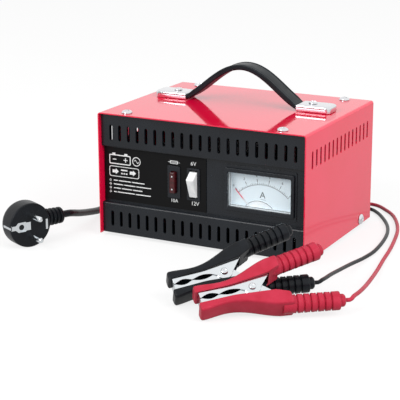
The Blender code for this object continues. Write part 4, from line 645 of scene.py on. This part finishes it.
def screw(node, place, twist, head_r=SCREW_HEAD_R, head_h=SCREW_HEAD_H, length=SCREW_L):
    """A domed screw. The head is a polar grid: its height is a dome less a cross-shaped pit whose two bars
    fade out at their sides and ends, and the shank is turned below it."""
    r, a = np.meshgrid(head_r * np.sin(np.linspace(0, QUARTER, 26)),
                       np.linspace(0, TURN, 96, endpoint=False), indexing="ij")
    x, y = r * np.cos(a), r * np.sin(a)
    u, v = x * math.cos(twist) + y * math.sin(twist), y * math.cos(twist) - x * math.sin(twist)

    def bar(along, across):
        """1 inside a bar 1 mm wide, falling to 0 over 0.2 mm at its sides and 0.5 mm at its ends."""
        return (np.clip((0.0007 - np.abs(across)) / 0.0002, 0, 1)
                * np.clip((0.62 * head_r - np.abs(along)) / 0.0005, 0, 1))
    dome = head_h * np.sqrt(np.clip(1 - (r / head_r)**2, 0, 1))**0.85
    head = np.stack([x, y, dome - 0.0012 * np.maximum(bar(u, v), bar(v, u))], -1)
    shank = turned([(head_r, 0), (SCREW_R, 0), (SCREW_R, SCREW_R - length), (0.001, -length),
                    (0, -length)], 96)
    stand_in(node, make_mesh([rings(moved(np.vstack([head, shank]), place))]), chrome, smooth=35)


def screws():
    """Four screws on the cover's top, two on each of its sides, and one through each handle cap."""
    for index, (x, y) in enumerate([(-1, -1), (1, -1), (-1, 1), (1, 1)], 1):
        screw(f"top_screw_{index}", at(x * 0.075, y * 0.0685, COVER_TOP + GAP), 0.3 + index)
        screw(f"side_screw_{index}", at(x * (CASE_SIDE + GAP), y * 0.052, 0.008, x, "Y"), 0.7 * index)
    for index, (side, x) in enumerate((("left", -1), ("right", 1))):
        screw(f"handle_screw_{side}", at(x * 0.0675, STRAP_Y, COVER_TOP + GAP + CAP_H + GAP), 0.5 + index,
              0.004, 0.002, 0.0113)


def foot(node, x, y):
    """A turned rubber foot: a pad with a soft rim, and a stud through the base."""
    pad_r, pad_top, stud_r, stud_top = 0.008, 0.0027, 0.0025, 0.0065
    profile = eased([(0, stud_top), (stud_r, stud_top), (stud_r, pad_top), (pad_r, pad_top), (pad_r, 0.0),
                     (0.0052, 0.0), (0.0046, 0.0005), (0, 0.0005)], 0.0006)
    stand_in(node, turned_mesh(profile, 48, at(x, y, 0)), black_rubber)


def strap():
    """The carrying strap, lofted along x. The underside is a bell: a power of a cosine. Each cross-section
    is a rounded bar, square to the underside, with a raised bead along both long edges of its top."""
    rise, foot_x, lean, sharp = 0.0317, 0.058, 0.0006, 1.55
    half, end, cap_x = 0.009, 0.0841, 0.055
    x = np.concatenate([[-end], np.linspace(-foot_x - 0.01, foot_x + 0.01, 131), [end]])

    def underside(x):
        share = np.minimum(1, np.abs(x - lean) / foot_x)
        return COVER_TOP + GAP + rise * np.cos(share * QUARTER)**sharp
    slope = np.arctan((underside(x + 0.0005) - underside(x - 0.0005)) / 0.001)
    blend = np.clip((cap_x - np.abs(x)) / (0.16 * cap_x), 0, 1)
    thick = 0.0033 + 0.0017 * blend
    bead = 0.0006 * blend
    right = [(half - 0.0008, 0), (half, 0.0008), (half, thick), (half - 0.0016, thick),
             (half - 0.0024, thick - bead), (half - 0.0038, thick - 0.5 * bead)]
    corners = [(y, z + 0 * x) for y, z in right]
    outline = rounded_loops(corners + [(-y, z) for y, z in corners[::-1]], 0.0011, 3)
    up = np.stack([-np.sin(slope), np.cos(slope)], -1)
    places = np.stack([x[:, None] + outline[..., 1] * up[:, :1], STRAP_Y + outline[..., 0],
                       underside(x)[:, None] + outline[..., 1] * up[:, 1:]], -1)
    stand_in("handle_strap", make_mesh([rings(places, True)]), strap_rubber, smooth=60)


def handle_cap(node, side):
    """A chromed cap: a rounded rectangle carried upwards, its top shoulder a quarter circle."""
    shoulder, inner_x, outer_x, half_w = 0.0022, 0.055, 0.087, 0.010
    turn = np.linspace(0, QUARTER, 8)
    inset = np.concatenate([[0.0003, 0.0], shoulder * (1 - np.cos(turn))])
    z = np.concatenate([[0.0, 0.0003], CAP_H - shoulder + shoulder * np.sin(turn)])
    near, far, half = inner_x + inset, outer_x - inset, half_w - inset
    loop = rounded_loops([(near, -half), (far, -half), (far, half), (near, half)],
                         np.array([0.0004, 0.0048, 0.0048, 0.0004]), 7)
    places = np.concatenate([loop, np.broadcast_to(z[:, None, None], (*loop.shape[:2], 1))], -1)
    places = places * (side, 1, 1) + (0, STRAP_Y, COVER_TOP + GAP)
    stand_in(node, make_mesh([rings(places, True)]), chrome, smooth=50)


softened("case_cover", enamel, 0.00022)
softened("front_panel", moulded_black, 0.0007, 3)
softened("rear_panel", moulded_black, 0.00035)
softened("base_plate", zinc, 0.0002)
handle_cap("handle_cap_left", -1)
handle_cap("handle_cap_right", 1)
screws()
for number, corner in enumerate([(-0.07, -0.05), (0.07, -0.05), (-0.07, 0.05), (0.07, 0.05)], 1):
    foot(f"foot_{number}", *corner)
strap()
repaint(laminations, "transformer_core")
repaint(winding_wire, "transformer_winding")
repaint(aluminium, "heat_sink", "thermal_cutout")
repaint(moulded_black, "rectifier", "meter_case")
repaint(zinc, "meter_movement")


# ---------------------------------------------------------------- printed marks

INK_T = 0.00006
INK_LIFT = INK_T / 2 + 0.00002
LABEL_FACE = -0.0696
FUSE_X, SWITCH_X = -0.0278, -0.0086
DIAL_Y = -0.062


def on_front(y):
    """Points (x, z) of a flat drawing as (x, z, depth) carried onto the case's front at y."""
    return at(0, y, 0) @ Matrix(((1, 0, 0, 0), (0, 0, -1, 0), (0, 1, 0, 0), (0, 0, 0, 1)))


def outline_mesh(outlines, thickness, matrix):
    """A thin flat piece from closed outlines; one inside another is a hole."""
    curve = bpy.data.curves.new("outline", "CURVE")
    curve.dimensions = "2D"
    curve.fill_mode = "BOTH"
    curve.extrude = thickness / 2
    for outline in outlines:
        spline = curve.splines.new("POLY")
        spline.points.add(len(outline) - 1)
        flat = np.column_stack([outline, np.zeros(len(outline)), np.ones(len(outline))])
        spline.points.foreach_set("co", flat.ravel())
        spline.use_cyclic_u = True
    return curve_mesh(curve, matrix)


def curve_mesh(curve, matrix):
    """The mesh of a flat curve or text, carried to its place."""
    guide = new_object("guide", curve)
    bpy.context.view_layer.update()
    mesh = bpy.data.meshes.new_from_object(guide.evaluated_get(bpy.context.evaluated_depsgraph_get()))
    bpy.data.objects.remove(guide, do_unlink=True)
    mesh.transform(matrix)
    return tidied(mesh, 0.000002)


def join_meshes(meshes):
    """Several meshes as one."""
    shape = bmesh.new()
    for mesh in meshes:
        shape.from_mesh(mesh)
    joined = bpy.data.meshes.new("joined")
    shape.to_mesh(joined)
    shape.free()
    return joined


def box_line(x0, x1, z0, z1):
    """A rectangle's four corners."""
    return [(x0, z0), (x1, z0), (x1, z1), (x0, z1)]


def round_box(x0, x1, z0, z1, radius):
    """A rectangle with rounded corners."""
    return eased(box_line(x0, x1, z0, z1), radius, 4, closed=True)


def ring_line(x, z, radius, steps=32):
    """A circle as a closed line."""
    angle = np.linspace(0, TURN, steps, endpoint=False)
    return np.column_stack([x + radius * np.cos(angle), z + radius * np.sin(angle)])


def numerals(words, size, x, z, y):
    """Plain printed figures, centred on a point."""
    text = bpy.data.curves.new("figures", "FONT")
    text.body = words
    text.size = size
    text.align_x = text.align_y = "CENTER"
    text.extrude = INK_T / 2
    text.resolution_u = 3
    return curve_mesh(text, on_front(y) @ at(x, z, 0))


def label_marks():
    """White marks on the label: a battery sign, a framed row of signs, lines, and the controls' figures. The
    outlines are in mm."""
    y = LABEL_FACE - INK_LIFT
    signs = [
        # a battery's case and plus, and a ring for the mains beside it
        [round_box(-93.5, -71.5, 66.6, 75.4, 1.4), round_box(-92.6, -72.4, 67.5, 74.5, 0.9)],
        [[(-78.7, 70.6), (-77.1, 70.6), (-77.1, 69.0), (-76.3, 69.0), (-76.3, 70.6), (-74.7, 70.6),
          (-74.7, 71.4), (-76.3, 71.4), (-76.3, 73.0), (-77.1, 73.0), (-77.1, 71.4), (-78.7, 71.4)]],
        [ring_line(-65.6, 71.0, 4.2), ring_line(-65.6, 71.0, 3.5)],
        # the frame round the second row, and a fuse sign over the fuse
        [round_box(-93.6, -63.0, 55.2, 64.8, 2.2), round_box(-93.0, -63.6, 55.8, 64.2, 1.8)],
        [round_box(-31.6, -24.0, 73.6, 76.4, 0.4), round_box(-31.1, -24.5, 74.1, 75.9, 0.3)]]
    # the wave in the ring
    turn = np.linspace(0, TURN, 25)
    wave = np.column_stack([-68.1 + turn / TURN * 5.0, 71.0 + 1.3 * np.sin(turn)])
    signs.append([np.vstack([wave + (0, 0.35), wave[::-1] - (0, 0.35)])])
    # two arrows in the frame
    for x in (-90.4, -72.6):
        signs.append([[(x, 58.6), (x + 3.4, 58.6), (x + 3.4, 57.4), (x + 6.4, 60.0), (x + 3.4, 62.6),
                       (x + 3.4, 61.4), (x, 61.4)]])
    # bars: the battery's posts and minus, the direct-current sign between the arrows, the fuse sign's wire
    bars = [(-90.3, -87.1, 75.4, 76.9), (-77.9, -74.7, 75.4, 76.9), (-89.9, -86.3, 70.6, 71.4),
            (-81.6, -75.0, 61.0, 62.2), (-81.6, -79.9, 57.9, 59.1), (-79.15, -77.45, 57.9, 59.1),
            (-76.7, -75.0, 57.9, 59.1), (-33.6, -31.6, 74.8, 75.2), (-24.0, -22.0, 74.8, 75.2),
            (-31.1, -24.5, 74.82, 75.18)]
    # four thin rows, each a dot and a broken line
    for row, ends in enumerate(((-84.6, -71.2, -57.2), (-79.0, -66.5, -50.6), (-81.4, -70.0, -59.4),
                                (-86.0, -67.2, -51.0))):
        z, start = 51.6 - 3.55 * row, -89.4
        signs.append([ring_line(-92.6, z, 1.0, 20), ring_line(-92.6, z, 0.62, 20)])
        for end in ends:
            bars.append((start, end - 0.5, z - 0.42, z + 0.42))
            start = end + 0.5
    signs += [[box_line(*bar)] for bar in bars]
    meshes = [outline_mesh([np.asarray(line) * MM for line in sign], INK_T, on_front(y)) for sign in signs]
    meshes += [numerals("10A", 0.0044, FUSE_X + 0.0001, 0.0402, y),
               numerals("6V", 0.0050, SWITCH_X, 0.0757, y),
               numerals("12V", 0.0050, SWITCH_X + 0.0014, 0.0400, y)]
    show("label_marks", join_meshes(meshes), white_ink)


softened("label_plate", label_film, 0)
label_marks()


# ---------------------------------------------------------------- fuse, switch and meter

CONTROL_Z = 0.0572
FUSE_FACE = -0.0741
METER_Z = 0.058


def fuse_contacts():
    """The two small test points in the fuse's face."""
    line = [(0, 0.0004), (0.00055, 0.0004), (0.00075, 0.0002), (0.00075, -0.0004), (0, -0.0004)]
    meshes = [turned_mesh(line, 20, at(FUSE_X, FUSE_FACE + 0.0002, CONTROL_Z + z * 0.0058, 1))
              for z in (-1, 1)]
    show("fuse_test_points", join_meshes(meshes), nickel, "fuse", smooth=40)


def meter_box():
    """The meter's pale inside: four walls between the window and the dial, lofted from two frames."""
    sections = [(-0.0672, 0.0296, 0.0151), (-0.0672, 0.0304, 0.0159), (-0.0622, 0.0304, 0.0159),
                (-0.0622, 0.0296, 0.0151)]
    corners = ((-1, -1), (1, -1), (1, 1), (-1, 1))
    loops = np.array([[(METER_X + i * w, y, METER_Z + k * h) for i, k in corners] for y, w, h in sections])
    walls = make_mesh([rings(np.concatenate([loops, loops[:1]]))])
    show("meter_inner_walls", walls, meter_wall, smooth=20)


def dial_marks():
    """The printed scale: an arc about the needle's pivot, long and short strokes along its rays, figures
    over the long strokes, and the unit's letter."""
    centre = np.array([METER_X, PIVOT_Z])
    first, last, inner = 133.6, 46.6, 0.0333
    y = DIAL_Y - INK_LIFT

    def rays(degrees):
        return np.column_stack([np.cos(np.radians(degrees)), np.sin(np.radians(degrees))])
    arc = rays(np.linspace(133.8, 46.4, 40))
    lines = [np.vstack([centre + arc * (inner + 0.00018), (centre + arc * (inner - 0.00018))[::-1]])]

    def stroke(ray, start, end, width):
        side = np.array([-ray[1], ray[0]]) * width / 2
        lines.append([centre + ray * start + side, centre + ray * end + side, centre + ray * end - side,
                      centre + ray * start - side])
    long_rays = rays(np.linspace(first, last, 6))
    for ray in long_rays:
        stroke(ray, 0.0357, 0.0382, 0.00052)
    for index, ray in enumerate(rays(np.linspace(first, last, 31))):
        stroke(ray, inner, *((0.0352, 0.00036) if index % 3 == 0 else (0.0347, 0.00026)))
    lines.append(box_line(0.0521, 0.0569, 0.04955, 0.0498))
    meshes = [outline_mesh([line], INK_T, on_front(y)) for line in lines]
    for ray, figure in zip(long_rays, range(0, 12, 2)):
        meshes.append(numerals(str(figure), 0.0030, *(centre + 0.0408 * ray), y))
    meshes.append(numerals("A", 0.0080, 0.0540, 0.0535, y))
    show("dial_scale", join_meshes(meshes), dial_ink)


def movement_cover():
    """The pale arched plate that hides the movement at the foot of the dial, with its edge in shade."""
    middle, radius, foot_z = (0.0512, 0.0312), 0.0174, 0.0425
    turn = np.arccos((foot_z - middle[1]) / radius)
    angle = np.linspace(QUARTER + turn, QUARTER - turn, 48)
    line = middle + radius * np.column_stack([np.cos(angle), np.sin(angle)])
    inside = middle + (line - middle) * (1 - 0.00042 / radius)
    plate = outline_mesh([line], 0.0008, on_front(DIAL_Y - 0.0005))
    show("movement_cover", plate, meter_wall)
    # a thin ring in the dial's grey ink round the plate's rim: painted shade along its edge
    edge = outline_mesh([np.vstack([line, inside[::-1]])], INK_T, on_front(DIAL_Y - 0.00095))
    show("movement_cover_edge_shade", edge, dial_ink)


softened("fuse_holder", moulded_black, 0.0002)
softened("switch_housing", moulded_black, 0.0002)
softened("fuse", fuse_plastic, 0.00025, 3, "fuse")
softened("switch_rocker", rocker_plastic, 0.0005, 4, "rocker", 45, 25)
fuse_contacts()
softened("meter_bezel", moulded_black, 0.0006, 3)
repaint(window_plastic, "meter_window")
repaint(dial_card, "meter_dial")
repaint(needle_paint, "meter_needle")
meter_box()
dial_marks()
movement_cover()


# ---------------------------------------------------------------- mains plug and cable entries

PLUG_R, PLUG_T = 0.020, 0.022
PIN_X, PIN_R, PIN_L = 0.0095, 0.0024, 0.019
EARTH_HOLE_R = 0.0025


def plug_frame():
    """The plug's own frame: Z runs out along the pins, X is up, Y away from the cord's boot."""
    pins = Vector((math.cos(PLUG_TURN), math.sin(PLUG_TURN), 0))
    up = Vector((0, 0, 1))
    return Matrix.Translation(PLUG_CENTRE) @ Matrix((up, pins.cross(up), pins)).transposed().to_4x4()


def plug():
    """A round moulded plug with a domed back, and a tapered boot with grooves.

    The body is turned about the pins' axis. The boot is turned about the cord's axis: its radius is a
    straight taper less a row of rounded grooves."""
    place = plug_frame()
    body = eased([(0, 0), (0.0193, 0), (PLUG_R, -0.0008), (PLUG_R, -0.0150), (0.0178, -0.0195),
                  (0.0150, -PLUG_T), (0, -PLUG_T)], 0.0018, 5)
    z = np.linspace(PLUG_BOOT_END, 0.0, 150)
    middles = PLUG_BOOT_END - 0.0046 - 0.0039 * np.arange(4)[:, None]
    groove = np.clip((0.0013 - np.abs(z - middles)) / 0.0005, 0, 1).max(axis=0)
    radius = 0.0074 + 0.0008 * np.clip((PLUG_BOOT_END - z) / 0.02, 0, 1) - 0.0015 * groove
    radius *= np.sqrt(np.clip(1 - (np.clip(z - 0.0366, 0, 1) / 0.0030)**2, 0.3, 1))
    boot = np.vstack([[(0, z[0])], np.column_stack([radius, z]), [(0, 0)]])
    parts = [rings(moved(turned(body, 72), place)),
             rings(moved(turned(boot, 40), place @ at(0, 0, -PLUG_BOOT_BACK, 1)))]
    obj = stand_in("plug_body", make_mesh(parts), black_pvc, smooth=38)
    half = np.array([(3.6, 0.4), (3.6, 4.6), (4.4, 5.6), (4.4, 12.6), (2.0, 15.2), (2.0, 19.0)]) * MM
    plate = np.vstack([half, half[::-1] * (-1, 1)])
    contact = [
        outline_mesh([plate, ring_line(0, PIN_X, EARTH_HOLE_R)], 0.0006, place @ at(0, 0, 0.0003)),
        outline_mesh([box_line(-0.0056, 0.0036, -0.0164, -0.0144)], 0.0012, place @ at(0, 0, 0.0005)),
        outline_mesh([box_line(-0.001, 0.001, -0.0003, 0.0125)], 0.0006, place @ at(0, PLUG_R, 0, -1))]
    # a matt black disc in the earth contact's hole: painted shade for the hole's depth
    hole = outline_mesh([ring_line(0, PIN_X, EARTH_HOLE_R - 0.0001)], 0.0002, place @ at(0, 0, 0.00015))
    pieces = [obj, show("plug_earth_contacts", join_meshes(contact), nickel),
              show("plug_earth_hole_shade", hole, black_rubber)]
    line = eased([(0, PIN_L), (0.0016, PIN_L), (PIN_R, 0.0172), (PIN_R, -0.004), (0, -0.004)], 0.0008, 5)
    for index, x in ((1, -PIN_X), (2, PIN_X)):
        pin = turned_mesh(line, 32, place @ at(x, 0, 0))
        pieces.append(stand_in(f"plug_pin_{index}", pin, nickel))
    return pieces + [softened("plug_earth_clip", nickel, 0.00015)]


def strain_relief():
    """A tapered sleeve on a round flange, turned: its radius grows to the panel, less rounded grooves."""
    flange_r, flange_t, neck_r = 0.008, 0.0025, 0.0057
    z = np.linspace(RELIEF_L, 0.0028, 140)
    share = (RELIEF_L - z) / RELIEF_L
    groove = 0.5 - 0.5 * np.cos(np.clip((z - 0.004) / 0.0272, 0, 1) * 6 * TURN)
    radius = CORD_D / 2 + 0.0008 + 0.0024 * share - 0.0007 * groove * (share > 0.04)
    line = np.vstack([[(0, RELIEF_L)], np.column_stack([radius, z]),
                      eased([(radius[-1], flange_t), (flange_r, flange_t), (flange_r, 0), (neck_r, 0),
                             (neck_r, -0.0065), (0, -0.0065)], 0.0005, 3)])
    mesh = turned_mesh(line, 40, at(RELIEF_X, BAND_Y + GAP, RELIEF_Z, -1))
    return stand_in("strain_relief", mesh, black_rubber)


plug_pieces = plug()
relief_piece = strain_relief()
grommet_piece = softened("output_grommet", black_rubber, 0.00025)


# ---------------------------------------------------------------- clamps

TIP_X, KNEE_X, BACK_X = -0.0440, 0.017, 0.0262
TIP_OUT, KNEE_OUT = 0.0120, 0.0227      # outer wall's height at the tip and at the knee
TIP_HALF_W, KNEE_HALF_W = 0.00745, 0.0092
COVER_WALL = 0.0016
SAG, SAG_LEAN, SAG_POWER = 0.0058, 0.868, 1.7
BOOT_R, BOOT_RIBS, BOOT_RIB_PITCH, BOOT_NOSE_R = 0.0073, 6, 0.0053, 0.0050
RIVET_HEAD_X, RIVET_HEAD_R = 0.0068, 0.0030


def clamp_cover(colour, half, pvc, body):
    """A moulded cover: a channel carried along x over one jaw, closed at its tip and solid at its back,
    with a ribbed boot. The channel's section is an outline of eight corners whose places are functions of
    x: the side walls widen in straight lines to the knee, the outer wall rises along a line less a
    sharpened sine wave that leans to the tip, and near both ends they shrink along a quarter circle, which
    rounds them."""
    soft = 0.0016
    x = np.concatenate([TIP_X + soft * (1 - np.cos(np.linspace(0, QUARTER, 7))),
                        np.linspace(-0.0421, -0.0416, 3), [-0.0415],
                        np.linspace(-0.041, KNEE_X - 0.0006, 44), [KNEE_X - 0.00055],
                        np.linspace(KNEE_X, BACK_X - soft, 9),
                        BACK_X - soft + soft * np.sin(np.linspace(0.2, QUARTER, 6))])
    shrink = sum(soft * (1 - np.sqrt(np.clip(1 - np.clip(past / soft, 0, 1)**2, 0, 1)))
                 for past in (TIP_X + soft - x, x - BACK_X + soft))
    share = np.clip((KNEE_X - x) / (KNEE_X + 0.043), 0, 1.02)
    wide = KNEE_HALF_W + share * (TIP_HALF_W - KNEE_HALF_W) - shrink
    sag = SAG * np.sin(math.pi * np.clip(1 - share, 0, 1)**SAG_LEAN).clip(0, 1)**SAG_POWER
    top = np.where(x < KNEE_X, KNEE_OUT - share * (KNEE_OUT - TIP_OUT) - sag,
                   KNEE_OUT + (x - KNEE_X) * 0.14) - shrink
    low = np.interp(x, [TIP_X, -0.016, 0.016, 0.025], [0.0050, 0.0050, 0.0088, 0.0130])
    low = np.convolve(np.pad(low, 2, "edge"), np.ones(5) / 5, "valid") + shrink
    room_w = np.minimum(0.0068, wide - 0.0005)
    room_top = np.where((x > -0.0416) & (x < KNEE_X - 0.0006), top - COVER_WALL, low + 0.00001)
    loop = rounded_loops([(-wide, low), (-wide, top), (wide, top), (wide, low), (room_w, low),
                          (room_w, room_top), (-room_w, room_top), (-room_w, low)],
                         np.array([0.0007, 0.0026, 0.0026, 0.0007, 0.0004, 0.0004, 0.0004, 0.0004]), 5)
    channel = np.concatenate([np.broadcast_to(x[:, None, None], (*loop.shape[:2], 1)), loop], -1)
    lie = Matrix.Translation((BOOT_X, 0, BOOT_Z)) @ Matrix.Rotation(QUARTER - BOOT_SLOPE, 4, "Y")
    boot = moved(turned(boot_line(), 48), lie)
    parts = [rings(moved(points * (1, 1, half), CLAMPS[colour]), capped)
             for points, capped in ((channel, True), (boot, False))]
    return stand_in(f"{colour}_clamp_{'upper' if half > 0 else 'lower'}_cover", make_mesh(parts), pvc,
                    body, 44)


def jaw(colour, half, body):
    """A pressed jaw. The hollows between its teeth are drawn shallower, and its inner faces are painted dark
    as the shade inside the jaws.
    """
    name = f"{colour}_clamp_{'upper' if half > 0 else 'lower'}_jaw"
    obj = softened(name, nickel, 0.00015, body=body)
    obj.data.materials.append(painted_shade_steel)
    into = CLAMPS[colour].inverted()
    for vertex in obj.data.vertices:
        place = into @ vertex.co
        if -0.0405 < place.x < -0.009 and abs(place.z) < 0.0031:
            place.z *= 0.74
            vertex.co = CLAMPS[colour] @ place
    # faces inside the jaws' channel take the second material, a dark steel that is painted shade
    for face in obj.data.polygons:
        place, normal = into @ face.center, into.to_3x3() @ face.normal
        inner_side = abs(place.y) > 0.003 and normal.y * place.y < 0 and abs(normal.y) > 0.9
        if inner_side or (abs(normal.z) > 0.5 and normal.z * half < 0 and abs(place.z) > 0.006):
            face.material_index = 1
    return obj


def boot_line():
    """The boot's profile from its nose to the cover: a round nose, a plain collar, then rounded ribs that
    lean like a ratchet's, each steep on its nose side."""
    start, soft = -0.0035, 0.0012
    z = np.linspace(BOOT_L, start, 300)
    turn = (BOOT_L - 0.0062 - z) / BOOT_RIB_PITCH
    phase = np.mod(turn, 1.0)
    wave = np.where((phase < 0.30) & (turn > 0) & (turn < BOOT_RIBS), np.sin(phase / 0.30 * math.pi), 0.0)
    radius = BOOT_R - 0.0014 * wave**0.7 + 0.0002 * np.cos(phase * TURN) * (turn > 0)
    radius = np.minimum(radius, BOOT_R)
    radius -= 0.0009 * (1 - np.sqrt(np.clip(1 - np.clip((z - BOOT_L + soft) / soft, 0, 1)**2, 0, 1)))
    tip = BOOT_L + BOOT_NOSE_L
    nose = eased([(0, tip), (0.0034, tip), (BOOT_NOSE_R, tip - 0.0014), (BOOT_NOSE_R, BOOT_L)], 0.0010, 4)
    return np.vstack([nose, np.column_stack([radius, z]), [(0, start)]])


def rivet(colour):
    """A rivet with a domed, dimpled head on both sides of the jaws."""
    head = [(0, 0.0009), (0.0009, 0.0009), (0.0014, 0.0014), (0.0025, 0.0011), (RIVET_HEAD_R, 0.0002),
            (RIVET_HEAD_R, 0), (0.0020, 0)]
    dome = eased(np.array(head) + (0, RIVET_HEAD_X), 0.0005, 4)
    mesh = turned_mesh(np.vstack([dome, dome[::-1] * (1, -1)]), 32, CLAMPS[colour] @ at(0, 0, 0, -1))
    return stand_in(f"{colour}_clamp_rivet", mesh, nickel)


def torsion_spring(colour):
    """A wire coil round the rivet with two straight legs. Its upper leg lies along the upper jaw."""
    wire, radius, turns, pitch, leg_x, leg_z, hold = 0.0014, 0.0038, 3, 0.0021, 0.013, 0.0141, 0.004
    lead_angle = math.atan2(leg_z, leg_x) + math.acos(radius / math.hypot(leg_x, leg_z))
    sweep = TURN * turns - 2 * lead_angle
    share = np.linspace(0, 1, 90)
    angle = lead_angle + share * sweep
    across = (share - 0.5) * pitch * sweep / TURN
    coil = np.column_stack([radius * np.cos(angle), across, radius * np.sin(angle)])
    first, last = np.array([leg_x, across[0], leg_z]), np.array([leg_x, across[-1], -leg_z])
    steps = np.linspace(0, 1, 8)[:, None]
    path = np.vstack([first + (coil[0] - first) * steps[:-1], coil,
                      coil[-1] + (last - coil[-1]) * steps[1:]])
    m = CLAMPS[colour]
    mesh = make_mesh([rings(moved(tube(path, wire / 2, 14), m), True)])
    obj = new_object(f"{colour}_clamp_spring_finished", mesh)
    mesh.materials.append(zinc)
    mesh.shade_smooth()
    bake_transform(obj)
    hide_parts(f"{colour}_clamp_spring")
    return obj


for colour, pvc in (("black", black_pvc), ("red", red_pvc)):
    upper = f"{colour}_upper_jaw"
    clamp_cover(colour, 1, pvc, upper)
    clamp_cover(colour, -1, pvc, "charger")
    jaw(colour, 1, upper)
    jaw(colour, -1, "charger")
    rivet(colour)
    torsion_spring(colour)


# ---------------------------------------------------------------- the leads' first points, worked out and left unused

tuple(lead_route("black")[0])
tuple(lead_route("red")[0])
